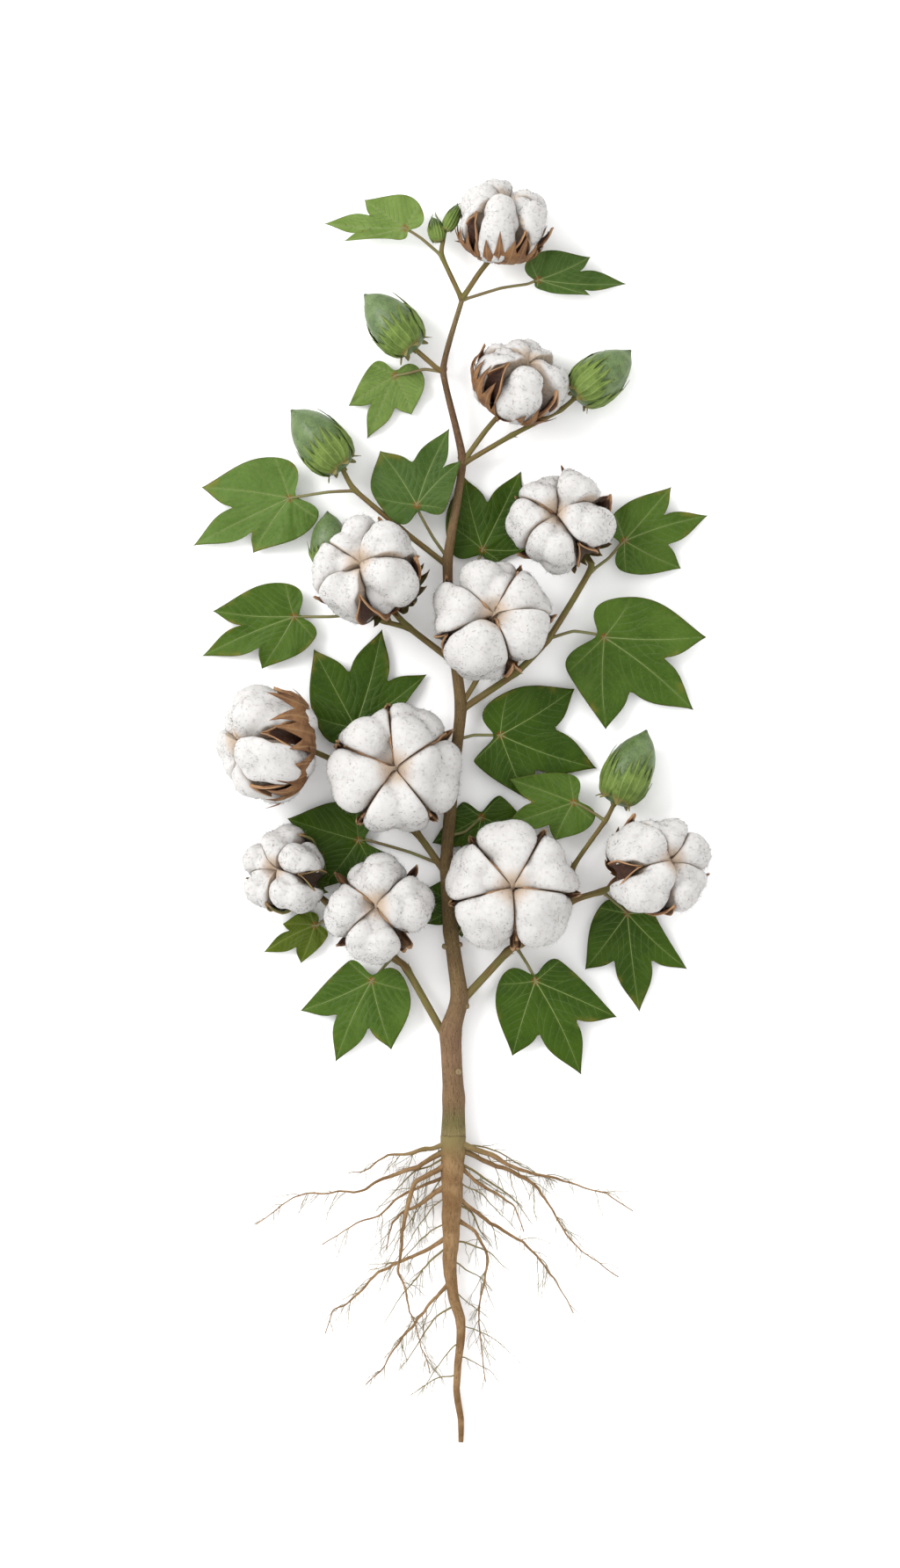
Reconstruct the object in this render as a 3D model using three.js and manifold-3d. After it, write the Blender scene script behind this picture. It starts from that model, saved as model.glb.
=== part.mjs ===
// A cotton plant lifted with its roots and laid on its side on a flat surface, in fruit.
// Millimetres. X runs across the plant, +Y from the root tip to the top of the shoot, +Z up from the
// surface it lies on. The plan below is drawn from the collar, where the stem turns into the taproot,
// and the whole plant is then moved so that its origin is the middle of the foot of its box.
import * as THREE from "three";
import { mergeVertices } from "three/addons/utils/BufferGeometryUtils.js";
import Module from "manifold-3d";

const wasm = await Module();
wasm.setup();

// ---- Driving dimensions ------------------------------------------------------------------------

const SEAT_GAP = 0.3; // between a limb and what grows from it
const FLOOR_CLEAR = 0.6; // the least height of a blade's underside
const BLADE_THICK = 1.2;
const PETIOLE = [1.15, 0.85]; // radius at the limb and at the blade
const PEDUNCLE = [1.9, 1.7]; // radius at the limb and at the boll
const BUD_STALK_RADII = [1.3, 1]; // at the limb and at the upper bud
const LIMB_TENSION = 0.25; // limbs run nearly straight between their nodes
const STEM_SIDES = 8;
const LIMB_SIDES = 6; // branches and peduncles
const ROOT_SIDES = 5;
const PETIOLE_SIDES = 4;
const STEM_STEPS = 20;
const TAPROOT_STEPS = 12;
const ROOT_STEPS = 6;
const STALK_STEPS = 4; // petioles and peduncles
const EXTRA_STEPS = 3; // a branch's steps, over the number of its places

// An open boll, as shares of its width across the locks.
const LOCK = { ring: 0.235, radius: 0.265, tall: 0.33, up: 0.05 };
const BUR = { radius: 0.3, deep: 0.28, down: 0.12 };
const BOLL_COLUMNS = 14;
const BOLL_ROWS = 8;

// A green boll in its bracts: [share of its length, radius as a share of its greatest].
const GREEN_PROFILE = [
  [-0.12, 0.5], [-0.06, 0.86], [0.12, 0.98], [0.34, 1], [0.55, 0.93], [0.78, 0.66], [0.93, 0.3],
];
const GREEN_SIDES = 8;
const BUD_SIDES = 6;

// A leaf's lobes, as shares: how deep the cut between two lobes is, and how far their sides swell.
const SINUS = 0.54;
const LOBE_SWELL = 0.12;
const LOBE_SHOULDER = 0.35; // where a lobe is widest, from the cut towards the tip
const CHEEK_TURN = 35; // degrees from the notch to where a cheek turns out of it
const CHEEK_RUN = 0.33; // how far a cheek keeps its direction on the way to the next lobe
const NOTCH_BACK = 2; // from the leaf's joint to the notch behind it
const PETIOLE_REACH = 0.06; // how far the petiole runs on under the middle lobe, as a share of it
const CURVE_STEPS = 2;

// ---- Plan of the plant: places in x, y, z from the collar -----------------------------------------

// The stem's nodes from the collar up: x, y, z, radius.
const STEM = [
  [0, 0, 12, 8.4], [0, 26, 12, 7.2], [-2, 71, 12, 7.1], [4, 95, 12, 5.8], [-2, 140, 12, 4.7],
  [-5, 185, 12, 4.3], [0, 248, 12, 4.2], [5, 294, 12, 4.1], [-2, 350, 12, 3.8], [-4, 394, 12.5, 3.5],
  [6, 462, 15, 2.9], [-7, 523, 18, 2.2], [6, 572, 20, 1.8],
];
const TAPROOT = [
  [0, 0, 12, 8.4], [-1, -48, 12, 6.8], [-2, -95, 10, 4.4], [4, -125, 8, 3.4], [5, -138, 7, 2.9],
  [2, -172, 5, 2.4], [5, -193, 3.5, 2.2], [5, -210, 2.4, 1.8],
];

// Lateral roots: thickness at the taproot, then places from the taproot's middle to the tip.
const ROOTS = {
  left_1: { thick: 3.4, at: [[-3, -5, 14], [-29, -11, 15], [-45, -12, 11], [-57, -22, 6], [-72, -26, 2]] },
  left_2: {
    thick: 4,
    at: [[-3, -9, 12], [-24, -20, 11], [-46, -29, 8], [-66, -38, 5], [-105, -41, 3], [-136, -61, 1]],
  },
  left_3: {
    thick: 4.2,
    at: [[-2, -18, 14], [-26, -32, 17], [-36, -68, 16], [-38, -92, 13], [-27, -125, 9], [-16, -163, 2]],
  },
  left_4: { thick: 4.4, at: [[-3, -33, 11], [-18, -43, 9], [-32, -51, 7], [-41, -60, 5], [-46, -78, 2]] },
  left_5: {
    thick: 3.2,
    at: [[-2, -68, 10], [-22, -80, 8], [-52, -95, 5], [-69, -112, 3], [-82, -119, 2], [-88, -136, 1]],
  },
  left_6: { thick: 2.8, at: [[-2, -100, 9], [-20, -119, 6], [-33, -137, 4], [-47, -157, 2], [-60, -171, 1]] },
  left_7: { thick: 2.4, at: [[-3, -27, 10], [-31, -38, 9], [-52, -55, 6], [-72, -64, 3], [-90, -75, 1]] },
  right_1: {
    thick: 4.6, at: [[3, -5, 13], [25, -12, 15], [44, -22, 12], [62, -28, 8], [95, -36, 4], [123, -52, 1]],
  },
  right_2: {
    thick: 4,
    at: [[3, -8, 11], [20, -17, 9], [50, -30, 7], [59, -37, 6], [70, -56, 5], [83, -74, 3], [113, -97, 1]],
  },
  right_3: { thick: 3.2, at: [[2, -19, 12], [16, -32, 11], [30, -40, 8], [42, -50, 4], [48, -66, 1]] },
  right_4: { thick: 3.6, at: [[1, -40, 10], [15, -53, 8], [50, -74, 5], [67, -95, 3], [82, -122, 1]] },
  right_5: { thick: 3, at: [[2, -57, 11], [16, -66, 9], [23, -86, 7], [17, -127, 4], [22, -169, 1]] },
};
const ROOT_TIP = 0.45;

// Open bolls: middle, width across the locks, the way they face, height above the floor, and the
// turn of each lock about the boll's axis in degrees. "stalk" is where the peduncle leaves its holder.
const OPEN_BOLLS = {
  top: {
    at: [33, 619.5], across: 61, face: [0.15, 0.88, 0.45], lift: 0, locks: [-100, -26, 42, 116, 187],
    tall: 0.36, up: 0.08,
    holders: ["main_stem", "fork_top"], stalk: [[6, 572, 20], [18, 590, 20]],
  },
  upper: {
    at: [44, 513], across: 62, face: [0.35, 0.75, 0.55], lift: 0, locks: [-82, 12, 78, 134, 198],
    tall: 0.33, up: 0.07,
    holders: ["main_stem", "branch_upper_right"], stalk: [[6, 460, 15], [22, 482, 15]],
  },
  right: { at: [74, 419], across: 70, face: [-0.2, 0.28, 0.93], lift: 4, locks: [48, 112, 174, 248, 336] },
  middle: {
    at: [26, 351], across: 83, face: [0.04, 0.22, 0.97], lift: 10, locks: [34, 98, 171, 246, 334],
    holders: ["main_stem", "branch_mid_right"], stalk: [[5, 294, 12], [16, 312, 12], [23, 330, 12]],
  },
  left: { at: [-57, 383], across: 74, face: [-0.3, 0.35, 0.88], lift: 20, locks: [32, 98, 162, 222, 312] },
  mid_left: {
    at: [-40, 250], across: 90, face: [0, 0.05, 1], lift: 6, locks: [65, 125, 195, 273, 352],
    holders: ["branch_lower_left"], stalk: [[-43, 224, 10], [-42, 238, 10]],
  },
  far_left: {
    at: [-124, 268], across: 78, face: [-0.93, 0.05, 0.36], lift: 0, locks: [-92, -24, 50, 125, 205],
  },
  low_middle: {
    at: [40, 170], across: 89, face: [0, 0.03, 1], lift: 1, locks: [30, 95, 160, 233, 316],
    holders: ["branch_low_right"], stalk: [[45, 131, 10], [42, 146, 8], [40, 158, 8]],
  },
  low_right: { at: [137, 184], across: 70, face: [0.5, 0.2, 0.84], lift: 2, locks: [51, 112, 175, 252, 346] },
  low_left: {
    at: [-51, 156], across: 72, face: [-0.08, 0.12, 0.99], lift: 4, locks: [90, 182, 262, 358],
    holders: ["branch_base_left"], stalk: [[-40, 121, 8], [-44, 134, 7], [-48, 144, 7]],
  },
  base_left: { at: [-113, 180], across: 59, face: [-0.5, 0.18, 0.85], lift: 1, locks: [0, 62, 125, 190, 278] },
};

// Green bolls: foot, tip, greatest radius, holder and peduncle.
const GREEN_BOLLS = {
  top: {
    foot: [-28, 539, 20], tip: [-60, 576, 16], radius: 17, holders: ["main_stem"],
    stalk: [[-7, 522, 18], [-12, 525, 19]],
  },
  right: { foot: [85, 506, 19], tip: [122, 536, 17], radius: 17 },
  low_right: { foot: [111, 230, 19], tip: [133, 277, 17], radius: 17 },
  left: { foot: [-77, 458, 19], tip: [-110, 497, 17], radius: 17.5 },
  behind: {
    foot: [-85, 391, 13.5], tip: [-85, 427, 13], radius: 13.5, holders: ["spur_mid_left"],
    stalk: [[-58, 356, 10], [-68, 370, 12]],
  },
};

// Branches: holder, radius at the foot and at the end, places. A boll's name ends it in that boll.
const BRANCHES = {
  fork_top: { holders: ["main_stem"], radius: [1.8, 1.5], at: [[6, 571, 20], [-8, 601, 20], [-7, 612, 20]] },
  branch_upper_right: {
    holders: ["main_stem"], radius: [2.1, 1.9], at: [[6, 459, 15], [40, 479, 16], [73, 496, 18]],
    green: "right",
  },
  branch_upper_left: {
    holders: ["main_stem"], radius: [2.3, 1.9], at: [[-3, 389, 12], [-36, 415, 13], [-68, 442, 16]],
    green: "left",
  },
  branch_mid_right: {
    holders: ["main_stem"], radius: [2.8, 2.1],
    at: [[5, 291, 12], [43, 317, 10], [65, 340, 10], [94, 388, 10], [88, 398, 10]], open: "right",
  },
  branch_mid_left: {
    holders: ["main_stem"], radius: [2.5, 2.1], at: [[-1, 325, 12], [-31, 348, 12], [-42, 360, 14]],
    open: "left",
  },
  spur_mid_left: {
    holders: ["branch_mid_left"], radius: [2, 2.2], at: [[-30, 347, 12], [-48, 352, 11], [-60, 357, 10]],
  },
  branch_lower_left: {
    holders: ["main_stem"], radius: [2.8, 2],
    at: [[-4, 178, 12], [-26, 208, 10], [-55, 234, 10], [-81, 256, 16]], open: "far_left",
  },
  branch_low_right: {
    holders: ["main_stem"], radius: [3.3, 2.2],
    at: [[2, 88, 12], [37, 126, 11], [47, 132, 10], [80, 160, 9], [101, 167, 9], [112, 172, 9]],
    open: "low_right",
  },
  spur_low_right: {
    holders: ["branch_low_right"], radius: [2.1, 1.9], at: [[80, 160, 9], [82, 184, 12], [104, 216, 16]],
    green: "low_right",
  },
  branch_base_left: {
    holders: ["main_stem"], radius: [3.2, 1.9],
    at: [[-2, 61, 12], [-32, 114, 9], [-40, 121, 8], [-86, 159, 8], [-96, 168, 8]], open: "base_left",
  },
};

// Two flower buds at the tip of the top fork: foot, tip, radius.
const BUDS = [
  { foot: [-10, 611, 20], tip: [-14, 628, 20], radius: 6.2 },
  { foot: [-5, 619, 20], tip: [4, 636, 22], radius: 5.2 },
];
const BUD_STALK = [[-7, 611, 20], [-6, 616, 20], [-4.5, 622, 20]];

// Leaves: joint x, y, z; then in degrees about it the notch, and [reach, degrees] of the first cheek,
// the three lobes and the second cheek, turning left. "fall" is how far the middle lobe's tip drops,
// "roll" the rise per mm to the left of it, and "stalk" the petiole from its holder.
const LEAVES = {
  top_left: {
    at: [-33, 620, 22], notch: 323, cheeks: [[19, 58], [10, 232]], lobes: [[34, 145], [56, 176], [43, 191]],
    fall: 12, roll: -0.15, holders: ["fork_top"], stalk: [[-8, 601, 20], [-22, 613, 21]],
  },
  top_right: {
    at: [58, 585, 16], notch: 193, cheeks: [[6, 262], [16, 112]], lobes: [[37, 344], [61, 358], [39, 384]],
    fall: 10, roll: 0.1, holders: ["main_stem", "fork_top", "boll_top"],
    stalk: [[6, 571, 20], [32, 579, 20], [50, 582, 17]],
  },
  upper_small: {
    at: [-40, 520, 6], notch: 88, cheeks: [[18, 155], [19, 5]], lobes: [[38, 213], [47, 246], [29, 293]],
    fall: 4, roll: 0, holders: ["main_stem", "green_boll_top"],
    stalk: [[-7, 522, 18], [-20, 524, 13], [-34, 521, 7]],
  },
  over_stem: {
    at: [-25, 431, 20], notch: 290, cheeks: [[20, 352], [30, 170]], lobes: [[43, 45], [57, 67], [45, 124]],
    fall: -2, roll: -0.12, holders: ["main_stem", "branch_upper_left"],
    stalk: [[-4, 395, 12], [-14, 409, 15], [-23, 425, 19]],
  },
  behind_upper: {
    at: [20, 401, 4], notch: 250, cheeks: [[14, 325], [32, 143]], lobes: [[40, 2], [60, 64], [51, 104]],
    fall: 2, roll: 0, holders: ["main_stem"], stalk: [[-2, 350, 12], [8, 372, 6], [18, 396, 4]],
  },
  right_upper: {
    at: [117, 407, 9], notch: 200, cheeks: [[22, 272], [20, 112]], lobes: [[43, 334], [60, 377], [49, 409]],
    fall: 5, roll: 0.05, holders: ["branch_mid_right"], stalk: [[94, 386, 10], [106, 395, 10], [113, 403, 9]],
  },
  right_large: {
    at: [103, 341, 13], notch: 162, cheeks: [[32, 207], [34, 415]], lobes: [[63, 271], [79, 321], [70, 360]],
    fall: 9, roll: 0.06, holders: ["branch_mid_right"], stalk: [[65, 340, 10], [82, 345, 13], [97, 343, 13]],
  },
  right_middle: {
    at: [32, 274, 8], notch: 185, cheeks: [[26, 225], [31, 80]], lobes: [[47, 292], [70, 341], [60, 392]],
    fall: 5, roll: 0, holders: ["main_stem"], stalk: [[3, 271, 12], [14, 274, 10], [27, 274, 8]],
  },
  right_over: {
    at: [82, 228, 15], notch: 25, cheeks: [[20, 100], [19, 318]], lobes: [[47, 160], [50, 199], [29, 244]],
    fall: -1, roll: 0, holders: ["spur_low_right"], stalk: [[104, 215, 16], [97, 220, 16], [87, 226, 15]],
  },
  behind_middle: {
    at: [19, 218, 4], notch: 95, cheeks: [[17, 145], [20, 46]], lobes: [[38, 208], [46, 262], [42, 335]],
    fall: 2, roll: 0, holders: ["main_stem"], stalk: [[-3, 205, 12], [8, 208, 6], [16, 215, 4]],
  },
  behind_low: {
    at: [2, 158, 4], notch: 20, cheeks: [[18, 85], [12, 330]], lobes: [[23, 150], [25, 212], [23, 280]],
    fall: 1, roll: 0, holders: ["main_stem"], stalk: [[-1, 134, 12], [8, 146, 6], [5, 157, 4]],
  },
  low_far_right: {
    at: [119, 152, 6], notch: 85, cheeks: [[20, 168], [18, 2]], lobes: [[48, 233], [68, 277], [56, 317]],
    fall: 4, roll: 0, holders: ["branch_low_right"], stalk: [[102, 167, 9], [110, 160, 8], [117, 154, 6]],
  },
  low_right: {
    at: [56, 106, 12], notch: 100, cheeks: [[26, 185], [22, 40]], lobes: [[54, 253], [72, 296], [61, 336]],
    fall: 9, roll: 0.05, holders: ["branch_low_right"], stalk: [[43, 129, 10], [50, 118, 12], [55, 109, 12]],
  },
  low_left: {
    at: [-56, 106, 10], notch: 85, cheeks: [[21, 140], [27, 345]], lobes: [[53, 203], [61, 246], [49, 286]],
    fall: 7, roll: 0.04, holders: ["branch_base_left"], stalk: [[-42, 122, 8], [-48, 115, 10], [-54, 108, 10]],
  },
  left_behind: {
    at: [-65, 202, 6], notch: 5, cheeks: [[25, 95], [24, 335]], lobes: [[51, 163], [42, 232], [32, 298]],
    fall: 4, roll: 0, holders: ["main_stem", "branch_lower_left"],
    stalk: [[-5, 184, 12], [-30, 194, 10], [-58, 202, 6]],
  },
  base_small: {
    at: [-95, 144, 5], notch: 20, cheeks: [[10, 110], [12, 315]], lobes: [[22, 178], [40, 208], [28, 250]],
    fall: 3, roll: 0, holders: ["branch_base_left"], stalk: [[-84, 157, 8], [-87, 149, 7], [-93, 144, 5]],
  },
  left_upper_back: {
    at: [-67, 279, 7], notch: 270, cheeks: [[22, 355], [30, 165]], lobes: [[61, 37], [70, 75], [61, 118]],
    fall: 3, roll: 0, holders: ["branch_lower_left"], stalk: [[-55, 234, 10], [-62, 256, 8], [-66, 275, 7]],
  },
  left_middle: {
    at: [-109, 355, 10], notch: 20, cheeks: [[24, 105], [21, 312]], lobes: [[56, 176], [69, 203], [42, 238]],
    fall: 6, roll: -0.05, holders: ["spur_mid_left", "green_boll_behind"],
    stalk: [[-60, 357, 10], [-84, 355, 12], [-103, 355, 10]],
  },
  left_upper: {
    at: [-112, 436, 12], notch: 25, cheeks: [[30, 110], [24, 325]], lobes: [[61, 173], [74, 206], [45, 236]],
    fall: 8, roll: -0.05, holders: ["branch_upper_left"], stalk: [[-67, 441, 16], [-86, 440, 16], [-106, 437, 13]],
  },
};

// ---- Finishes ------------------------------------------------------------------------------------

const finish = (color, roughness) => new THREE.MeshStandardMaterial({ color, roughness, metalness: 0 });
const BARK = finish(0x7a6446, 0.8);
const BRANCH_BARK = finish(0x77713f, 0.75);
const ROOT_BARK = finish(0xc4a27a, 0.85);
const LEAF_GREEN = finish(0x4b8230, 0.6);
const COTTON = finish(0xf1efed, 0.95);
const BOLL_GREEN = finish(0x668845, 0.55);

// ---- Solids --------------------------------------------------------------------------------------

// A three.js geometry as an exact solid: vertices shared, collapsed triangles left out.
function solidOf(geometry) {
  const bare = new THREE.BufferGeometry();
  bare.setAttribute("position", geometry.getAttribute("position"));
  bare.setIndex(geometry.index);
  const merged = mergeVertices(bare, 1e-4);
  const kept = [];
  const corners = merged.index.array;
  for (let i = 0; i < corners.length; i += 3) {
    const [a, b, c] = corners.slice(i, i + 3);
    if (a !== b && b !== c && a !== c) kept.push(a, b, c);
  }
  const vertProperties = new Float32Array(merged.attributes.position.array);
  return new wasm.Manifold(new wasm.Mesh({ numProp: 3, vertProperties, triVerts: new Uint32Array(kept) }));
}

function geometryOf(solid) {
  const mesh = solid.getMesh();
  const geometry = new THREE.BufferGeometry();
  geometry.setAttribute("position", new THREE.BufferAttribute(new Float32Array(mesh.vertProperties), 3));
  geometry.setIndex(new THREE.BufferAttribute(new Uint32Array(mesh.triVerts), 1));
  return geometry;
}

// A limb: a turned profile whose radius changes along it, bent to follow a smooth line.
// Its places are x, y, z and radius. "grow" makes the same limb fatter and longer by that much.
function limb(places, sides, steps, grow = 0) {
  const points = places.map(([x, y, z]) => new THREE.Vector3(x, y, z));
  const line = new THREE.CatmullRomCurve3(points, false, "catmullrom", LIMB_TENSION);
  const profile = [new THREE.Vector2(0, 0)];
  for (let i = 0; i <= steps; i += 1) {
    const along = line.getUtoTmapping(i / steps) * (places.length - 1);
    const before = Math.min(Math.floor(along), places.length - 2);
    const radius = THREE.MathUtils.lerp(places[before][3], places[before + 1][3], along - before);
    profile.push(new THREE.Vector2(radius + grow, i / steps));
  }
  profile.push(new THREE.Vector2(0, 1));
  const turned = new THREE.LatheGeometry(profile, sides);
  const frames = line.computeFrenetFrames(steps);
  const position = turned.getAttribute("position");
  const spot = new THREE.Vector3();
  for (let i = 0; i < position.count; i += 1) {
    const share = position.getY(i);
    const station = Math.round(share * steps);
    line.getPointAt(share, spot);
    spot.addScaledVector(frames.normals[station], position.getX(i));
    spot.addScaledVector(frames.binormals[station], -position.getZ(i));
    if (station === 0) spot.addScaledVector(frames.tangents[station], -grow);
    if (station === steps) spot.addScaledVector(frames.tangents[station], grow);
    position.setXYZ(i, spot.x, spot.y, spot.z);
  }
  return solidOf(turned);
}

// Places without a radius, given one that tapers evenly from foot to end.
function tapered(places, [foot, end]) {
  return places.map((place, i) => [...place, THREE.MathUtils.lerp(foot, end, i / (places.length - 1))]);
}

// How far a ray from the origin runs before it leaves an ellipsoid of revolution about Y.
function reach(ray, centre, radius, tall) {
  const squash = new THREE.Vector3(1 / radius, 1 / tall, 1 / radius);
  const direction = ray.clone().multiply(squash);
  const middle = centre.clone().multiply(squash);
  const a = direction.dot(direction);
  const b = direction.dot(middle);
  const inside = b * b - a * (middle.dot(middle) - 1);
  return inside < 0 ? 0 : (b + Math.sqrt(inside)) / a;
}

// The turn that takes a boll's own +Y to the way it faces.
function facing(face) {
  const toward = new THREE.Vector3(...face).normalize();
  return new THREE.Quaternion().setFromUnitVectors(new THREE.Vector3(0, 1, 0), toward);
}

// An open boll about its own middle: the locks stand in a ring on the bur.
function openBollGeometry({ across, face, locks, tall = LOCK.tall, up = LOCK.up }) {
  const geometry = new THREE.SphereGeometry(1, BOLL_COLUMNS, BOLL_ROWS);
  const centres = locks.map((degrees) => {
    const turn = THREE.MathUtils.degToRad(degrees);
    return new THREE.Vector3(LOCK.ring * Math.cos(turn), up, -LOCK.ring * Math.sin(turn));
  });
  const bur = new THREE.Vector3(0, -BUR.down, 0);
  const position = geometry.getAttribute("position");
  const ray = new THREE.Vector3();
  for (let i = 0; i < position.count; i += 1) {
    ray.fromBufferAttribute(position, i).normalize();
    const far = centres.map((centre) => reach(ray, centre, LOCK.radius, tall));
    ray.multiplyScalar(across * Math.max(reach(ray, bur, BUR.radius, BUR.deep), ...far));
    position.setXYZ(i, ray.x, ray.y, ray.z);
  }
  return geometry.applyQuaternion(facing(face));
}

// Where an open boll's middle lies, once it rests on the floor or is lifted off it.
function bollMiddle(boll, geometry) {
  geometry.computeBoundingBox();
  return new THREE.Vector3(boll.at[0], boll.at[1], boll.lift - geometry.boundingBox.min.z);
}

// The point inside the bur where the stalk ends.
function bollFoot(boll, middle) {
  const down = new THREE.Vector3(...boll.face).normalize();
  return middle.clone().addScaledVector(down, -boll.across * (BUR.down + 0.5 * BUR.deep));
}

// An egg with a drawn-out tip from foot to tip, for green bolls and buds.
function egg({ foot, tip, radius }, sides) {
  const from = new THREE.Vector3(...foot);
  const axis = new THREE.Vector3(...tip).sub(from);
  const length = axis.length();
  const profile = GREEN_PROFILE.map(([along, wide]) => new THREE.Vector2(radius * wide, length * along));
  profile.unshift(new THREE.Vector2(0, length * GREEN_PROFILE[0][0]));
  profile.push(new THREE.Vector2(0, length));
  const geometry = new THREE.LatheGeometry(profile, sides);
  return geometry.applyQuaternion(facing(axis.toArray())).translate(from.x, from.y, from.z);
}

const polar = (distance, degrees) =>
  new THREE.Vector2(distance, 0).rotateAround(new THREE.Vector2(), THREE.MathUtils.degToRad(degrees));

// A side of a lobe, from the cut beside it to its tip or back: it swells near the cut.
function lobeSide(shape, from, to, cutFirst) {
  const along = cutFirst ? LOBE_SHOULDER : 1 - LOBE_SHOULDER;
  const out = new THREE.Vector2(to.y - from.y, from.x - to.x).multiplyScalar(LOBE_SWELL);
  const bend = from.clone().lerp(to, along).add(out);
  shape.quadraticCurveTo(bend.x, bend.y, to.x, to.y);
}

// Where a cheek's curve bends on its way between the cheek's widest point and a lobe's tip.
function cheekBend(turn, cheek, tip) {
  const onward = cheek.clone().sub(turn).normalize();
  return cheek.clone().addScaledVector(onward, CHEEK_RUN * cheek.distanceTo(tip));
}

// A leaf's outline about its joint, turning left from the notch.
function leafOutline({ notch, cheeks, lobes }) {
  const start = polar(NOTCH_BACK, notch);
  const [first, last] = cheeks.map(([distance, degrees]) => polar(distance, degrees));
  const tips = lobes.map(([distance, degrees]) => polar(distance, degrees));
  const cuts = [0, 1].map((i) => {
    const [near, far] = [lobes[i], lobes[i + 1]];
    return polar(SINUS * 0.5 * (near[0] + far[0]), 0.5 * (near[1] + far[1]));
  });
  const turnOut = polar(cheeks[0][0], notch + CHEEK_TURN);
  const turnIn = polar(cheeks[1][0], notch - CHEEK_TURN);
  const bendOut = cheekBend(turnOut, first, tips[0]);
  const bendIn = cheekBend(turnIn, last, tips[2]);
  const shape = new THREE.Shape();
  shape.moveTo(start.x, start.y);
  shape.quadraticCurveTo(turnOut.x, turnOut.y, first.x, first.y);
  shape.quadraticCurveTo(bendOut.x, bendOut.y, tips[0].x, tips[0].y);
  cuts.forEach((cut, i) => {
    lobeSide(shape, tips[i], cut, false);
    lobeSide(shape, cut, tips[i + 1], true);
  });
  shape.quadraticCurveTo(bendIn.x, bendIn.y, last.x, last.y);
  shape.quadraticCurveTo(turnIn.x, turnIn.y, start.x, start.y);
  return shape;
}

// The height of a blade's underside at a place about its joint: it falls towards the middle lobe's
// tip, leans to one side, and lies flat where it would go through the floor.
function bladeHeight(leaf, x, y) {
  const [length, degrees] = leaf.lobes[1];
  const heading = polar(1, degrees);
  const ahead = x * heading.x + y * heading.y;
  const left = y * heading.x - x * heading.y;
  const drop = leaf.fall * Math.sign(ahead) * Math.abs(ahead / length) ** 1.5;
  return Math.max(leaf.at[2] - 0.5 * BLADE_THICK - drop + leaf.roll * left, FLOOR_CLEAR);
}

function blade(leaf) {
  const geometry = new THREE.ExtrudeGeometry(leafOutline(leaf), {
    depth: BLADE_THICK, bevelEnabled: false, curveSegments: CURVE_STEPS,
  });
  const position = geometry.getAttribute("position");
  for (let i = 0; i < position.count; i += 1) {
    const [x, y, z] = [position.getX(i), position.getY(i), position.getZ(i)];
    position.setXYZ(i, x + leaf.at[0], y + leaf.at[1], z + bladeHeight(leaf, x, y));
  }
  return solidOf(geometry);
}

// ---- The plant -------------------------------------------------------------------------------------

const plant = new THREE.Group();
const organs = {};
for (const kind of ["stems", "roots", "bolls", "leaves"]) {
  organs[kind] = new THREE.Group();
  plant.add(organs[kind]);
}

// Each limb or stalk grown by the seat gap: what is cut from the things that grow on it.
const sheaths = {};

// A named mesh whose own origin is the given place, cut clear of what carries it.
function put(organ, name, solid, material, [x, y, z], holders = []) {
  const seated = holders.reduce((rest, holder) => rest.subtract(sheaths[holder]), solid);
  const mesh = new THREE.Mesh(geometryOf(seated).translate(-x, -y, -z), material);
  mesh.name = name;
  mesh.position.set(x, y, z);
  organs[organ].add(mesh);
}

// A limb that also leaves its sheath for what grows on it.
function grownLimb(name, places, sides, steps) {
  sheaths[name] = limb(places, sides, steps, SEAT_GAP);
  return limb(places, sides, steps);
}

const stem = grownLimb("main_stem", STEM, STEM_SIDES, STEM_STEPS);
put("stems", "main_stem", stem, BARK, STEM[0]);
const taproot = grownLimb("taproot", TAPROOT, STEM_SIDES, TAPROOT_STEPS);
put("roots", "taproot", taproot, ROOT_BARK, TAPROOT[0], ["main_stem"]);
for (const [key, { thick, at }] of Object.entries(ROOTS)) {
  const root = limb(tapered(at, [0.5 * thick, ROOT_TIP]), ROOT_SIDES, ROOT_STEPS);
  put("roots", "root_" + key, root, ROOT_BARK, at[0], ["taproot"]);
}

const openBolls = {};
for (const [key, boll] of Object.entries(OPEN_BOLLS)) {
  const geometry = openBollGeometry(boll);
  const middle = bollMiddle(boll, geometry);
  const body = solidOf(geometry.translate(...middle));
  openBolls[key] = { ...boll, middle, foot: bollFoot(boll, middle), body };
}

// A branch that ends in a boll reaches into the boll's foot.
for (const [name, { holders, radius, at, open, green }] of Object.entries(BRANCHES)) {
  const places = [...at];
  if (open) places.push(openBolls[open].foot.toArray());
  if (green) places.push(GREEN_BOLLS[green].foot);
  const branch = grownLimb(name, tapered(places, radius), LIMB_SIDES, places.length + EXTRA_STEPS);
  put("stems", name, branch, BRANCH_BARK, at[0], holders);
}

// A boll has a stalk of its own, or stands on the end of the branch that names it.
function withStalk(name, body, stalk, foot) {
  if (!stalk) return body;
  return body.add(grownLimb(name, tapered([...stalk, foot], PEDUNCLE), LIMB_SIDES, STALK_STEPS));
}

function carriers(kind, key, holders) {
  return holders ?? Object.keys(BRANCHES).filter((name) => BRANCHES[name][kind] === key);
}

for (const [key, { middle, foot, body, stalk, holders }] of Object.entries(openBolls)) {
  const whole = withStalk("boll_" + key, body, stalk, foot.toArray());
  put("bolls", "boll_" + key, whole, COTTON, middle.toArray(), carriers("open", key, holders));
}

for (const [key, boll] of Object.entries(GREEN_BOLLS)) {
  const whole = withStalk("green_boll_" + key, solidOf(egg(boll, GREEN_SIDES)), boll.stalk, boll.foot);
  put("bolls", "green_boll_" + key, whole, BOLL_GREEN, boll.foot, carriers("green", key, boll.holders));
}

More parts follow.
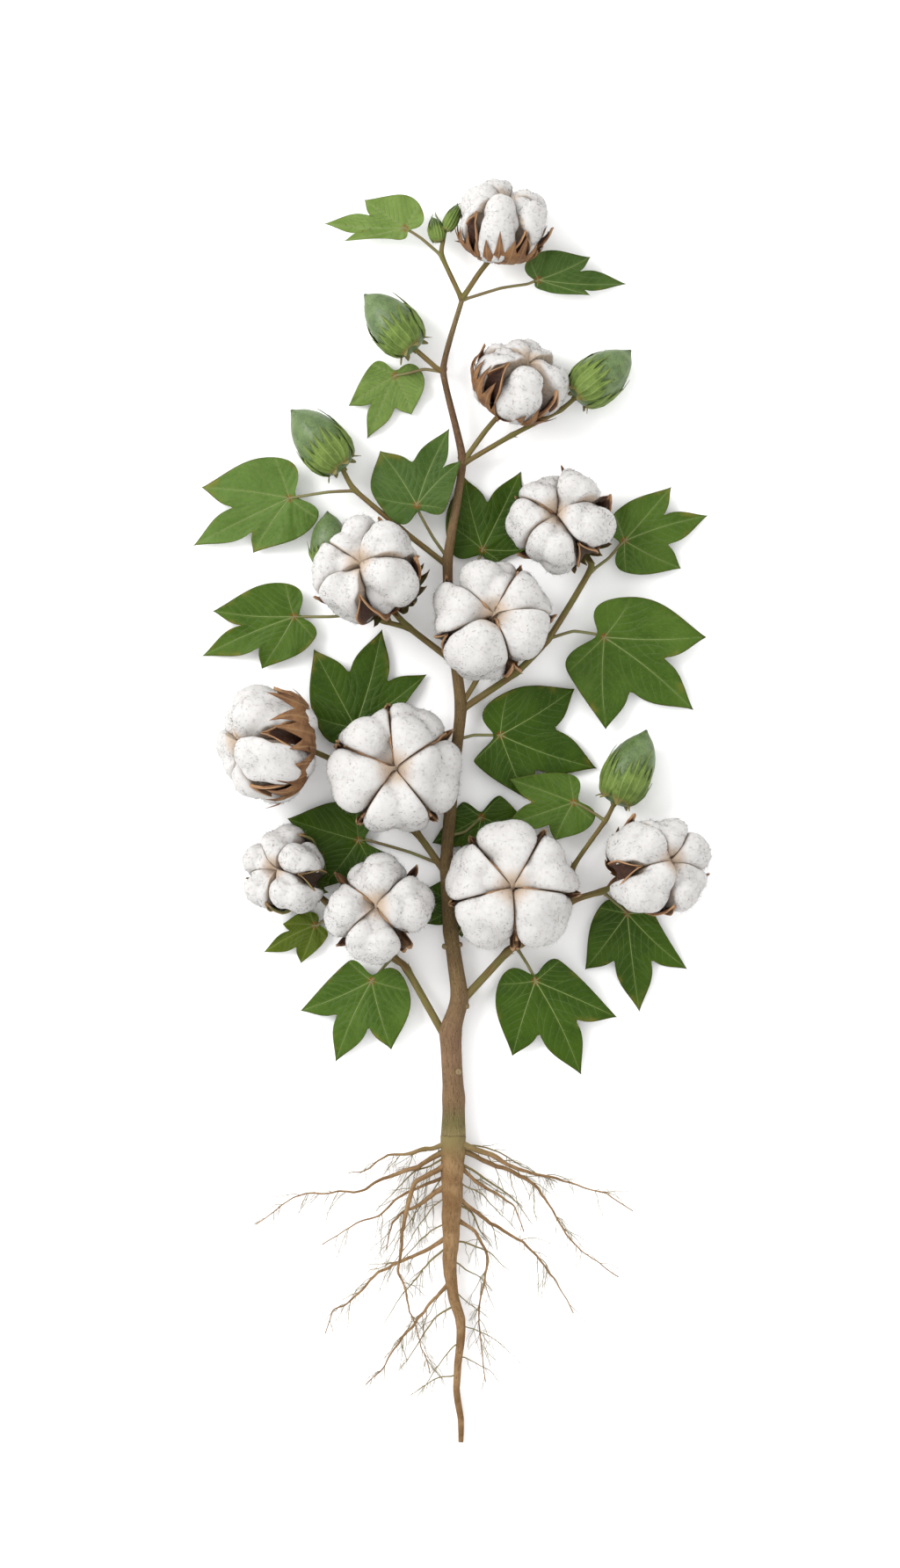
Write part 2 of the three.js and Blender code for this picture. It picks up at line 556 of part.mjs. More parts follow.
const budStalk = limb(tapered(BUD_STALK, BUD_STALK_RADII), PETIOLE_SIDES, STALK_STEPS);
const buds = BUDS.reduce((joined, bud) => joined.add(solidOf(egg(bud, BUD_SIDES))), budStalk);
put("bolls", "flower_buds", buds, BOLL_GREEN, BUD_STALK[0], ["fork_top"]);

for (const [key, leaf] of Object.entries(LEAVES)) {
  const [length, degrees] = leaf.lobes[1];
  const inward = polar(PETIOLE_REACH * length, degrees);
  const end = [leaf.at[0] + inward.x, leaf.at[1] + inward.y, leaf.at[2]];
  const petiole = limb(tapered([...leaf.stalk, end], PETIOLE), PETIOLE_SIDES, STALK_STEPS);
  put("leaves", "leaf_" + key, blade(leaf).add(petiole), LEAF_GREEN, leaf.at, leaf.holders);
}

// The origin is the middle of the foot of the plant's box.
const box = new THREE.Box3().setFromObject(plant, true);
const centre = box.getCenter(new THREE.Vector3());
plant.position.set(-centre.x, -centre.y, -box.min.z);

export default plant;
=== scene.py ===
"""A cotton plant in fruit, lifted with its roots and laid on its back: its looks, around the CAD frame.

The plan is in millimetres from the collar, where the stem turns into the taproot, as the CAD's is.
"""

import itertools
import math

import bpy
import numpy as np
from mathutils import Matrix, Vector


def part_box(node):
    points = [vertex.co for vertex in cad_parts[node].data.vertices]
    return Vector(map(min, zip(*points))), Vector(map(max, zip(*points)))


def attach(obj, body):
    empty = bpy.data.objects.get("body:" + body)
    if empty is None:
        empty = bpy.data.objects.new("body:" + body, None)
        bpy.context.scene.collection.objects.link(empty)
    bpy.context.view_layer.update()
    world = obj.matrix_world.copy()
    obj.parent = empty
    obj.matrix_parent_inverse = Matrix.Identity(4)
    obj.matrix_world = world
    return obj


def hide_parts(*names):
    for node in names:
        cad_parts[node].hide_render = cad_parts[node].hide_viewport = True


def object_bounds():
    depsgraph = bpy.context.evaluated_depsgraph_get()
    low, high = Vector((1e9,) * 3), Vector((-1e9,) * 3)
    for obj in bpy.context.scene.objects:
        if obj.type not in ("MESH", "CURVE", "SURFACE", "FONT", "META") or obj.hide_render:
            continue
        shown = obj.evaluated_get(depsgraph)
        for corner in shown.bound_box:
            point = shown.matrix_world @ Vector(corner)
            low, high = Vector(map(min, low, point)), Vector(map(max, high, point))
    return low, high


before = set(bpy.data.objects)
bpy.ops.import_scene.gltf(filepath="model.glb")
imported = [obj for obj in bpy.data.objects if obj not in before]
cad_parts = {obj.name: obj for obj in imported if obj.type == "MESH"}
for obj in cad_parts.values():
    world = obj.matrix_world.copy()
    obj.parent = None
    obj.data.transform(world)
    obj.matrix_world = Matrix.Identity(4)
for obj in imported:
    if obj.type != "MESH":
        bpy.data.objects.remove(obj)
cad_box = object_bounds()

MM = 0.001
COLLAR_HEIGHT = 12


def collar_place():
    """The collar in the row frame: the middle of the main stem's lowest ring of vertices."""
    vertices = np.array([v.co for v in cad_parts["main_stem"].data.vertices])
    ring = vertices[vertices[:, 1] < vertices[:, 1].min() + 0.1 * MM]
    middle = 0.5 * (ring.min(0) + ring.max(0))
    return middle - np.array([0, 0, COLLAR_HEIGHT * MM])


ORIGIN = collar_place()

# ---- Plan of the plant, in mm from the collar ---------------------------------------------------------

STEM = [  # nodes: x, y, z, radius
    (0, 0, 12, 8.4), (0, 26, 12, 7.2), (-2, 71, 12, 7.1), (4, 95, 12, 5.8), (-2, 140, 12, 4.7),
    (-5, 185, 12, 4.3), (0, 248, 12, 4.1), (5, 294, 12, 3.9), (-2, 350, 12, 3.6), (-4, 394, 12.5, 3.3),
    (6, 462, 15, 2.65), (-7, 523, 18, 2.05), (6, 572, 20, 1.7),
]
TAPROOT = [  # places: x, y, z, radius
    (0, 0, 12, 8.4), (-1, -48, 12, 6.8), (-2, -95, 10, 4.4), (4, -125, 8, 3.4), (5, -138, 7, 2.9),
    (2, -172, 5, 2.4), (5, -193, 3.5, 2.2), (5, -210, 2.4, 1.8),
]
ROOTS = {  # thickness at the taproot, places
    "left_1": (3.4, [(-3, -5, 14), (-29, -11, 15), (-45, -12, 11), (-57, -22, 6), (-72, -26, 2)]),
    "left_2": (4, [(-3, -9, 12), (-24, -20, 11), (-46, -29, 8), (-66, -38, 5), (-105, -41, 3), (-136, -61, 1)]),
    "left_3": (4.2, [(-2, -18, 14), (-26, -32, 17), (-36, -68, 16), (-38, -92, 13), (-27, -125, 9), (-16, -163, 2)]),
    "left_4": (4.4, [(-3, -33, 11), (-18, -43, 9), (-32, -51, 7), (-41, -60, 5), (-46, -78, 2)]),
    "left_5": (3.2, [(-2, -68, 10), (-22, -80, 8), (-52, -95, 5), (-69, -112, 3), (-82, -119, 2), (-88, -136, 1)]),
    "left_6": (2.8, [(-2, -100, 9), (-20, -119, 6), (-33, -137, 4), (-47, -157, 2), (-60, -171, 1)]),
    "left_7": (2.4, [(-3, -27, 10), (-31, -38, 9), (-52, -55, 6), (-72, -64, 3), (-90, -75, 1)]),
    "right_1": (4.6, [(3, -5, 13), (25, -12, 15), (44, -22, 12), (62, -28, 8), (95, -36, 4), (123, -52, 1)]),
    "right_2": (4, [(3, -8, 11), (20, -17, 9), (50, -30, 7), (59, -37, 6), (70, -56, 5), (83, -74, 3), (113, -97, 1)]),
    "right_3": (3.2, [(2, -19, 12), (16, -32, 11), (30, -40, 8), (42, -50, 4), (48, -66, 1)]),
    "right_4": (3.6, [(1, -40, 10), (15, -53, 8), (50, -74, 5), (67, -95, 3), (82, -122, 1)]),
    "right_5": (3, [(2, -57, 11), (16, -66, 9), (23, -86, 7), (17, -127, 4), (22, -169, 1)]),
}

# Open bolls: middle, width across the locks, the way it faces, the turn of each lock in degrees, and its
# valves: turn, half width, reach and height of the tip as shares of the width, and how much of the way
# from the middle to the tip its ray runs.
OPEN_BOLLS = {
    "top": dict(
        at=(33, 619.5), across=61, face=(0.15, 0.88, 0.45), locks=(-100, -26, 42, 116, 187), tall=0.36, up=0.08,
        stalk=[(6, 572, 20), (18, 590, 20)],
        valves=[(-138, 0.1, 0.38, 0.25, 0), (-58, 0.09, 0.44, 0.17, 0), (4, 0.03, 0.53, 0.08, 0),
                (80, 0.02, 0.5, 0.1, 0), (152, 0.03, 0.5, 0.1, 0)],
        bracts=[(-150, 0.9), (-75, 1.0), (10, 0.8)], bract_look="dry",
    ),
    "upper": dict(
        at=(44, 513), across=62, face=(0.35, 0.75, 0.55), locks=(-82, 12, 78, 134, 198), tall=0.33, up=0.07,
        stalk=[(6, 460, 15), (22, 482, 15)],
        valves=[(-132, 0.12, 0.31, 0.34, 0), (-30, 0.09, 0.42, 0.23, 0), (46, 0.02, 0.5, 0.1, 0),
                (106, 0.02, 0.5, 0.1, 0), (160, 0.03, 0.5, 0.2, 0)],
        bracts=[(-155, 1.15), (-60, 0.85), (40, 0.7)], bract_look="papery",
    ),
    "right": dict(
        at=(74, 419), across=70, face=(-0.2, 0.28, 0.93), locks=(48, 112, 174, 248, 336),
        valves=[(17, 0.08, 0.5, 0.06, 0), (-66, 0.1, 0.36, 0.27, 0), (208, 0.04, 0.5, 0.06, 0),
                (143, 0.015, 0.46, 0.14, 0.5), (78, 0.015, 0.5, 0.12, 0.12)],
        bracts=[(-105, 0.75), (-35, 0.8), (150, 0.5)], bract_look="olive",
    ),
    "middle": dict(
        at=(26, 351), across=83, face=(0.04, 0.22, 0.97), locks=(34, 98, 171, 246, 334),
        stalk=[(5, 294, 12), (16, 312, 12), (23, 330, 12)],
        valves=[(63, 0.014, 0.46, 0.16, 1), (140, 0.012, 0.48, 0.1, 0.35), (206, 0.06, 0.39, 0.24, 0),
                (-66, 0.055, 0.41, 0.2, 0.6), (7, 0.02, 0.49, 0.08, 0.15)],
        bracts=[(-110, 0.62), (-60, 0.62), (130, 0.55)], bract_look="dry",
    ),
    "left": dict(
        at=(-57, 383), across=74, face=(-0.3, 0.35, 0.88), locks=(32, 98, 162, 222, 312),
        valves=[(-5, 0.09, 0.45, 0.13, 0), (260, 0.1, 0.32, 0.32, 0), (190, 0.02, 0.51, 0.08, 0),
                (130, 0.015, 0.45, 0.14, 0.3), (63, 0.015, 0.48, 0.12, 0)],
        bracts=[(-30, 0.9), (-105, 0.7), (180, 0.55)], bract_look="olive",
    ),
    "mid_left": dict(
        at=(-40, 250), across=90, face=(0, 0.05, 1), locks=(65, 125, 195, 273, 352),
        stalk=[(-43, 224, 10), (-42, 238, 10)],
        valves=[(96, 0.012, 0.46, 0.13, 1), (35, 0.012, 0.5, 0.08, 1), (-51, 0.012, 0.47, 0.08, 1),
                (236, 0.012, 0.46, 0.12, 1), (156, 0.018, 0.44, 0.16, 1)],
        bracts=[], bract_look="dry",
    ),
    "far_left": dict(
        at=(-124, 268), across=78, face=(-0.93, 0.05, 0.36), locks=(-92, -24, 50, 125, 205),
        valves=[(4, 0.05, 0.47, 0.05, 0), (-59, 0.1, 0.41, 0.24, 0), (-128, 0.08, 0.4, 0.24, 0),
                (90, 0.04, 0.48, 0.12, 0), (166, 0.04, 0.48, 0.12, 0)],
        bracts=[(-40, 1.05), (-120, 1.0), (80, 0.9)], bract_look="dry",
    ),
    "low_middle": dict(
        at=(40, 170), across=89, face=(0, 0.03, 1), locks=(30, 95, 160, 233, 316),
        stalk=[(45, 131, 10), (42, 146, 8), (40, 158, 8)],
        valves=[(131, 0.012, 0.47, 0.1, 0.6), (60, 0.012, 0.47, 0.1, 0.8), (-6, 0.016, 0.49, 0.08, 0.5),
                (-86, 0.022, 0.43, 0.14, 1), (194, 0.016, 0.46, 0.09, 0.5)],
        bracts=[], bract_look="dry",
    ),
    "low_right": dict(
        at=(137, 184), across=70, face=(0.5, 0.2, 0.84), locks=(51, 112, 175, 252, 346),
        valves=[(218, 0.1, 0.33, 0.31, 0), (304, 0.07, 0.4, 0.24, 0), (18, 0.02, 0.46, 0.2, 0),
                (82, 0.015, 0.5, 0.1, 0.2), (143, 0.05, 0.51, 0.06, 0)],
        bracts=[(170, 0.9), (255, 0.75), (0, 0.6)], bract_look="dry",
    ),
    "low_left": dict(
        at=(-51, 156), across=72, face=(-0.08, 0.12, 0.99), locks=(90, 182, 262, 358),
        stalk=[(-40, 121, 8), (-44, 134, 7), (-48, 144, 7)],
        valves=[(138, 0.014, 0.49, 0.1, 0.75), (42, 0.02, 0.51, 0.09, 0), (218, 0.02, 0.5, 0.06, 0),
                (-58, 0.045, 0.45, 0.12, 0.6)],
        bracts=[(-100, 0.5), (-30, 0.55)], bract_look="olive",
    ),
    "base_left": dict(
        at=(-113, 180), across=59, face=(-0.5, 0.18, 0.85), locks=(0, 62, 125, 190, 278),
        valves=[(317, 0.11, 0.32, 0.3, 0), (228, 0.07, 0.38, 0.25, 0), (157, 0.01, 0.5, 0.05, 0),
                (94, 0.01, 0.5, 0.05, 0), (31, 0.05, 0.44, 0.2, 0)],
        bracts=[(-40, 0.7), (-90, 0.75)], bract_look="green",
    ),
}
# As shares of a boll's width: how far a lock's middle lies from the axis, its half sizes outwards, sideways and along
# the axis, and how far it is raised.
LOCK_RING, LOCK_RADIUS, LOCK_WIDTH, LOCK_TALL, LOCK_UP = 0.235, 0.265, 0.285, 0.33, 0.05
BUR_DOWN, BUR_DEEP = 0.12, 0.28  # how far the bur's middle lies below the boll's, and its half height, as shares

GREEN_BOLLS = {  # foot, tip, greatest radius, the peduncle's places
    "top": ((-28, 539, 20), (-60, 576, 16), 17, [(-7, 522, 18), (-12, 525, 19)]),
    "right": ((85, 506, 19), (122, 536, 17), 17, None),
    "low_right": ((111, 230, 19), (133, 277, 17), 17, None),
    "left": ((-77, 458, 19), (-110, 497, 17), 17.5, None),
    "behind": ((-85, 391, 13.5), (-85, 427, 13), 13.5, [(-58, 356, 10), (-68, 370, 12)]),
}

BRANCHES = {  # radius at the foot and at the end, places, and the boll it ends in
    "fork_top": ((1.75, 1.45), [(6, 571, 20), (-8, 601, 20), (-7, 612, 20)], None),
    "branch_upper_right": ((1.8, 1.5), [(6, 459, 15), (40, 479, 16), (73, 496, 18)], "green_right"),
    "branch_upper_left": ((2.0, 1.65), [(-3, 389, 12), (-36, 415, 13), (-68, 442, 16)], "green_left"),
    "branch_mid_right": ((2.4, 1.8), [(5, 291, 12), (43, 317, 10), (65, 340, 10), (94, 388, 10),
                         (88, 398, 10)], "right"),
    "branch_mid_left": ((2.3, 1.8), [(-1, 325, 12), (-31, 348, 12), (-42, 360, 14)], "left"),
    "spur_mid_left": ((1.8, 1.7), [(-30, 347, 12), (-48, 352, 11), (-60, 357, 10)], None),
    "branch_lower_left": ((2.5, 1.8), [(-4, 178, 12), (-26, 208, 10), (-55, 234, 10), (-81, 256, 16)], "far_left"),
    "branch_low_right": ((2.8, 1.7), [(2, 88, 12), (37, 126, 11), (47, 132, 10), (80, 160, 9), (101, 167, 9),
                         (112, 172, 9)], "low_right"),
    "spur_low_right": ((1.7, 1.5), [(80, 160, 9), (82, 184, 12), (104, 216, 16)], "green_low_right"),
    "branch_base_left": ((2.7, 1.7), [(-2, 61, 12), (-32, 114, 9), (-40, 121, 8), (-86, 159, 8),
                         (-96, 168, 8)], "base_left"),
}
BUDS = [  # foot, tip, greatest radius
    ((-10, 611, 20), (-14, 628, 20), 6.2), ((-5, 619, 20), (4, 636, 22), 5.2),
]
BUD_STALK = [(-7, 611, 20), (-6, 616, 20), (-4.5, 622, 20)]

# Leaves: joint, turn of the notch, the two cheeks and the three lobes as (reach, turn in degrees) from the joint, how
# far the blade falls to its tip and rolls, the petiole's places, and the shade.
LEAVES = {
    "top_left": ((-33, 620, 22), 323, ((19, 58), (10, 232)), ((34, 145), (56, 176), (43, 191)), 12, -0.15,
                 [(-8, 601, 20), (-22, 613, 21)], "fresh"),
    "top_right": ((58, 585, 16), 193, ((6, 262), (16, 112)), ((37, 344), (61, 358), (39, 384)), 10, 0.1,
                  [(6, 571, 20), (32, 579, 20), (50, 582, 17)], "grey"),
    "upper_small": ((-40, 520, 6), 88, ((18, 155), (19, 5)), ((38, 213), (47, 246), (29, 293)), 4, 0,
                    [(-7, 522, 18), (-20, 524, 13), (-34, 521, 7)], "fresh"),
    "over_stem": ((-25, 431, 20), 290, ((20, 352), (30, 170)), ((43, 45), (57, 67), (45, 124)), -2, -0.12,
                  [(-4, 395, 12), (-14, 409, 15), (-23, 425, 19)], "grey"),
    "behind_upper": ((20, 401, 4), 250, ((14, 325), (32, 143)), ((40, 2), (60, 64), (51, 104)), 2, 0,
                     [(-2, 350, 12), (8, 372, 6), (18, 396, 4)], "deep"),
    "right_upper": ((117, 407, 9), 200, ((22, 272), (20, 112)), ((43, 334), (60, 377), (49, 409)), 5, 0.05,
                    [(94, 386, 10), (106, 395, 10), (113, 403, 9)], "mid"),
    "right_large": ((103, 341, 13), 162, ((35, 224), (34, 415)), ((63, 271), (79, 321), (70, 360)), 9, 0.06,
                    [(65, 340, 10), (82, 345, 13), (97, 343, 13)], "mid"),
    "right_middle": ((32, 274, 8), 185, ((26, 225), (31, 80)), ((47, 292), (70, 341), (60, 392)), 5, 0,
                     [(3, 271, 12), (14, 274, 10), (27, 274, 8)], "deep"),
    "right_over": ((82, 228, 15), 25, ((20, 100), (19, 318)), ((47, 160), (50, 199), (29, 244)), -1, 0,
                   [(104, 215, 16), (97, 220, 16), (87, 226, 15)], "mid"),
    "behind_middle": ((19, 218, 4), 95, ((17, 145), (20, 46)), ((38, 208), (46, 262), (42, 335)), 2, 0,
                      [(-3, 205, 12), (8, 208, 6), (16, 215, 4)], "deep"),
    "behind_low": ((2, 158, 4), 20, ((18, 85), (12, 330)), ((23, 150), (25, 212), (23, 280)), 1, 0,
                   [(-1, 134, 12), (8, 146, 6), (5, 157, 4)], "deep"),
    "low_far_right": ((119, 152, 6), 85, ((20, 168), (18, 2)), ((48, 233), (68, 277), (56, 317)), 4, 0,
                      [(102, 167, 9), (110, 160, 8), (117, 154, 6)], "deep"),
    "low_right": ((56, 106, 12), 100, ((26, 185), (22, 40)), ((54, 253), (72, 296), (61, 336)), 9, 0.05,
                  [(43, 129, 10), (50, 118, 12), (55, 109, 12)], "deep"),
    "low_left": ((-56, 106, 10), 85, ((21, 140), (27, 345)), ((53, 203), (61, 246), (49, 286)), 7, 0.04,
                 [(-42, 122, 8), (-48, 115, 10), (-54, 108, 10)], "mid"),
    "left_behind": ((-65, 202, 6), 5, ((25, 95), (24, 335)), ((51, 163), (42, 232), (32, 298)), 4, 0,
                    [(-5, 184, 12), (-30, 194, 10), (-58, 202, 6)], "deep"),
    "base_small": ((-95, 144, 5), 20, ((10, 110), (12, 315)), ((22, 178), (40, 208), (28, 250)), 3, 0,
                   [(-84, 157, 8), (-87, 149, 7), (-93, 144, 5)], "yellow"),
    "left_upper_back": ((-67, 279, 7), 270, ((22, 355), (30, 165)), ((61, 37), (70, 75), (61, 118)), 3, 0,
                        [(-55, 234, 10), (-62, 256, 8), (-66, 275, 7)], "deep"),
    "left_middle": ((-109, 355, 10), 20, ((24, 105), (21, 312)), ((56, 176), (69, 203), (42, 238)), 6, -0.05,
                    [(-60, 357, 10), (-84, 355, 12), (-103, 355, 10)], "mid"),
    "left_upper": ((-112, 436, 12), 25, ((30, 110), (24, 325)), ((61, 173), (74, 206), (45, 236)), 8, -0.05,
                   [(-67, 441, 16), (-86, 440, 16), (-106, 437, 13)], "light"),
}
# The cuts' reach as a share of the lobes', and how far out and how far along a lobe's side swells.
SINUS, LOBE_SWELL, LOBE_SHOULDER = 0.54, 0.2, 0.35
# How a blade's two cheeks turn in to the notch, the notch's depth in mm, and how far the petiole runs on below the
# blade as a share of its middle lobe.
CHEEK_TURN, CHEEK_RUN, NOTCH_BACK, PETIOLE_REACH = 35, 0.4, 2, 0.06

# ---- Small mathematics --------------------------------------------------------------------------------


def unit(v):
    v = np.asarray(v, float)
    return v / np.maximum(np.linalg.norm(v, axis=-1, keepdims=True), 1e-12)


def polar(distance, degrees):
    turn = math.radians(degrees)
    return np.array([distance * math.cos(turn), distance * math.sin(turn)])


def smooth(x, low, high):
    t = np.clip((np.asarray(x, float) - low) / (high - low), 0, 1)
    return t * t * (3 - 2 * t)


def noise(points, scale, seed=0):
    """Smooth noise from -1 to 1 at each point; scale is the size of its lumps."""
    p = np.asarray(points, float) / scale
    base = np.floor(p).astype(np.int64)
    f = p - base
    f = f * f * (3 - 2 * f)
    total = np.zeros(len(p))
    for corner in itertools.product((0, 1), repeat=3):
        c = base + corner
        h = (c[:, 0] * 73856093 ^ c[:, 1] * 19349663 ^ c[:, 2] * 83492791 ^ (seed * 97531 + 11)) & 0xFFFFFFFF
        h = ((h ^ (h >> 15)) * 0x2C1B3C6D) & 0xFFFFFFFF
        h = ((h ^ (h >> 12)) * 0x297A2D39) & 0xFFFFFFFF
        value = ((h ^ (h >> 15)) & 0xFFFF) / 32767.5 - 1
        total += value * np.prod(np.where(corner, f, 1 - f), axis=1)
    return total


def skin(angle, along, turns, step):
    """Places to take noise at on a limb's skin: turns sets how fine it is round the limb, and step along it."""
    return np.stack([turns * np.cos(angle), turns * np.sin(angle), along / step], -1).reshape(-1, 3)


def layered(points, scale, seed):
    total = sum(noise(points, scale / 2**i, seed + i) / 2**i for i in range(3))
    return total / 1.6


def spline(places, spacing, tension=0.25):
    """A smooth line through places at even steps. Every column of places is carried along."""
    p = np.asarray(places, float)
    ends = np.vstack([2 * p[0] - p[1], p, 2 * p[-1] - p[-2]])
    out = []
    for i in range(len(p) - 1):
        a, b, c, d = ends[i : i + 4]
        ma, mb = tension * (c - a), tension * (d - b)
        n = max(2, int(round(np.linalg.norm((c - b)[:3]) / spacing)))
        t = np.arange(n)[:, None] / n
        out.append(
            (2 * t**3 - 3 * t**2 + 1) * b + (t**3 - 2 * t**2 + t) * ma
            + (3 * t**2 - 2 * t**3) * c + (t**3 - t**2) * mb
        )
    return np.vstack([*out, p[-1:]])


def limb_line(places, start, end, spacing):
    """A limb's line with its radius, or another number that runs from start to end, as the fourth column."""
    return spline(np.column_stack([places, np.linspace(start, end, len(places))]), spacing)


def line_frames(path):
    """Tangents, normals and binormals along a line, without twist."""
    tangents = unit(np.gradient(path, axis=0))
    normal = np.cross(tangents[0], (0, 0, 1))
    if np.linalg.norm(normal) < 0.1:
        normal = np.cross(tangents[0], (1, 0, 0))
    normals = [unit(normal)]
    for t in tangents[1:]:
        n = normals[-1] - t * (normals[-1] @ t)
        normals.append(unit(n))
    normals = np.array(normals)
    return tangents, normals, np.cross(tangents, normals)


def lengths(path):
    return np.concatenate([[0], np.cumsum(np.linalg.norm(np.diff(path, axis=0), axis=1))])


# ---- Meshes ---------------------------------------------------------------------------------------------


FLOOR_CLEAR, FLOOR_EASE = 0.2, 0.8  # nothing is nearer to the floor, and what would be is pressed flatter above it


class Shape:
    """Points, faces and what is known at each point, gathered into one mesh."""

    def __init__(self):
        self.points, self.faces, self.slots, self.facts, self.normals = [], [], [], [], []
        self.count = 0

    def add(self, points, faces, slot=0, normals=None, **facts):
        points = np.asarray(points, float)
        self.normals.append(np.zeros((len(points), 3)) if normals is None else normals)
        for face in faces:
            face = np.asarray(face, np.int64)
            if len(face):
                self.faces.append(face + self.count)
                self.slots.append(np.full(len(face), slot))
        self.points.append(points)
        self.facts.append((len(points), facts))
        self.count += len(points)

    def mesh(self, name, materials):
        mesh = bpy.data.meshes.new(name)
        points = np.vstack(self.points)
        low = points[:, 2] < FLOOR_CLEAR + FLOOR_EASE
        points[low, 2] = FLOOR_CLEAR + FLOOR_EASE * np.exp((points[low, 2] - FLOOR_CLEAR - FLOOR_EASE) / FLOOR_EASE)
        points = ORIGIN + MM * points
        corners = np.concatenate([f.ravel() for f in self.faces])
        sizes = np.concatenate([np.full(len(f), f.shape[1]) for f in self.faces])
        mesh.vertices.add(len(points))
        mesh.vertices.foreach_set("co", points.astype(np.float32).ravel())
        mesh.loops.add(len(corners))
        mesh.loops.foreach_set("vertex_index", corners.astype(np.int32))
        mesh.polygons.add(len(sizes))
        starts = np.concatenate([[0], np.cumsum(sizes)[:-1]])
        mesh.polygons.foreach_set("loop_start", starts.astype(np.int32))
        mesh.polygons.foreach_set("material_index", np.concatenate(self.slots).astype(np.int32))
        for material in materials:
            mesh.materials.append(material)
        for key in sorted({k for _, facts in self.facts for k in facts}):
            values = [np.broadcast_to(facts.get(key, 0.0), n) for n, facts in self.facts]
            attribute = mesh.attributes.new(key, "FLOAT", "POINT")
            attribute.data.foreach_set("value", np.concatenate(values).astype(np.float32))
        mesh.update(calc_edges=True)
        mesh.validate()
        mesh.shade_smooth()
        normals = np.vstack(self.normals)
        if normals.any():
            mesh.normals_split_custom_set_from_vertices(normals)
        return mesh


def piece(name, shape, materials, slot, *nodes):
    """A finished piece of the plant, riding on the root body and standing for its CAD nodes."""
    obj = bpy.data.objects.new(name, shape.mesh(name, materials))
    bpy.context.scene.collection.objects.link(obj)
    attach(obj, "root")
    if nodes:
        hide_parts(*nodes)


def grid_faces(rows, columns, closed):
    """Quads of a grid of points, row by row; closed joins the last column to the first."""
    r = np.arange(rows - 1)[:, None]
    c = np.arange(columns if closed else columns - 1)[None, :]
    n = (c + 1) % columns
    a, b = r * columns + c, r * columns + n
    quads = np.stack([a, b, b + columns, a + columns], axis=-1)
    return quads.reshape(-1, 4)


def fan(centre, ring, flip=False):
    ring = np.asarray(ring)
    nxt = np.roll(ring, -1)
    triangles = np.stack([np.full(len(ring), centre), ring, nxt], axis=-1)
    return triangles[:, ::-1] if flip else triangles


def capped_faces(rows, columns, flip=False):
    """Faces of a body of rings whose first and last ring are closed on the two points after the grid's."""
    n, ring = rows * columns, np.arange(columns)
    quads = grid_faces(rows, columns, True)
    ends = np.vstack([fan(n, ring, True), fan(n + 1, ring + n - columns)])
    return [quads[:, ::-1], ends[:, ::-1]] if flip else [quads, ends]


def tube(shape, path, radii, sides, slot=0, relief=None, **facts):
    """A closed tube along a path. relief(angle, along) gives the share by which the radius changes."""
    path, radii = np.asarray(path, float), np.asarray(radii, float)
    _, normals, binormals = line_frames(path)
    angle = np.arange(sides) * 2 * math.pi / sides
    along = lengths(path)
    a, l = np.meshgrid(angle, along)
    r = radii[:, None] * (1 + relief(a, l) if relief else np.ones_like(a))
    ring = path[:, None] + r[..., None] * (
        np.cos(a)[..., None] * normals[:, None] + np.sin(a)[..., None] * binormals[:, None]
    )
    n = len(path)
    points = np.vstack([ring.reshape(-1, 3), path[:1], path[-1:]])
    known = {k: np.concatenate([np.repeat(np.broadcast_to(v, n), sides), np.broadcast_to(v, n)[[0, -1]]])
             for k, v in facts.items()}
    known["flow_u"] = np.concatenate([(r * np.cos(a)).ravel(), [0, 0]])
    known["flow_v"] = np.concatenate([(r * np.sin(a)).ravel(), [0, 0]])
    known["flow_w"] = np.concatenate([l.ravel(), along[[0, -1]]])
    shape.add(points, capped_faces(n, sides), slot, **known)


SPIKE_STEPS, SPIKE_SIDES = 5, 5


def spike(shape, foot, direction, length, radius, bend=(0, 0, 0), **facts):
    """A pointed thorn, stipule or tooth that curves by bend towards its tip."""
    t = np.linspace(0, 1, SPIKE_STEPS + 1)[:, None]
    path = np.asarray(foot, float) + t * length * unit(direction) + t**2 * np.asarray(bend, float)
    tube(shape, path, radius * (1 - t[:, 0]) ** 0.8 + 0.05, SPIKE_SIDES, **facts)


# ---- Materials --------------------------------------------------------------------------------------------


# The light is this much stronger than full white needs, so that the floor stays white by the plant. Every paint but
# the floor's is darkened by as much.
LIGHT_LEVEL = 1.85


def linear(rgb, level=LIGHT_LEVEL):
    """An sRGB colour of 0 to 255, as it looks in this light, as the linear colour that a shader takes."""
    c = np.asarray(rgb, float) / 255
    return (*np.where(c <= 0.04045, c / 12.92, ((c + 0.055) / 1.055) ** 2.4) / level, 1.0)


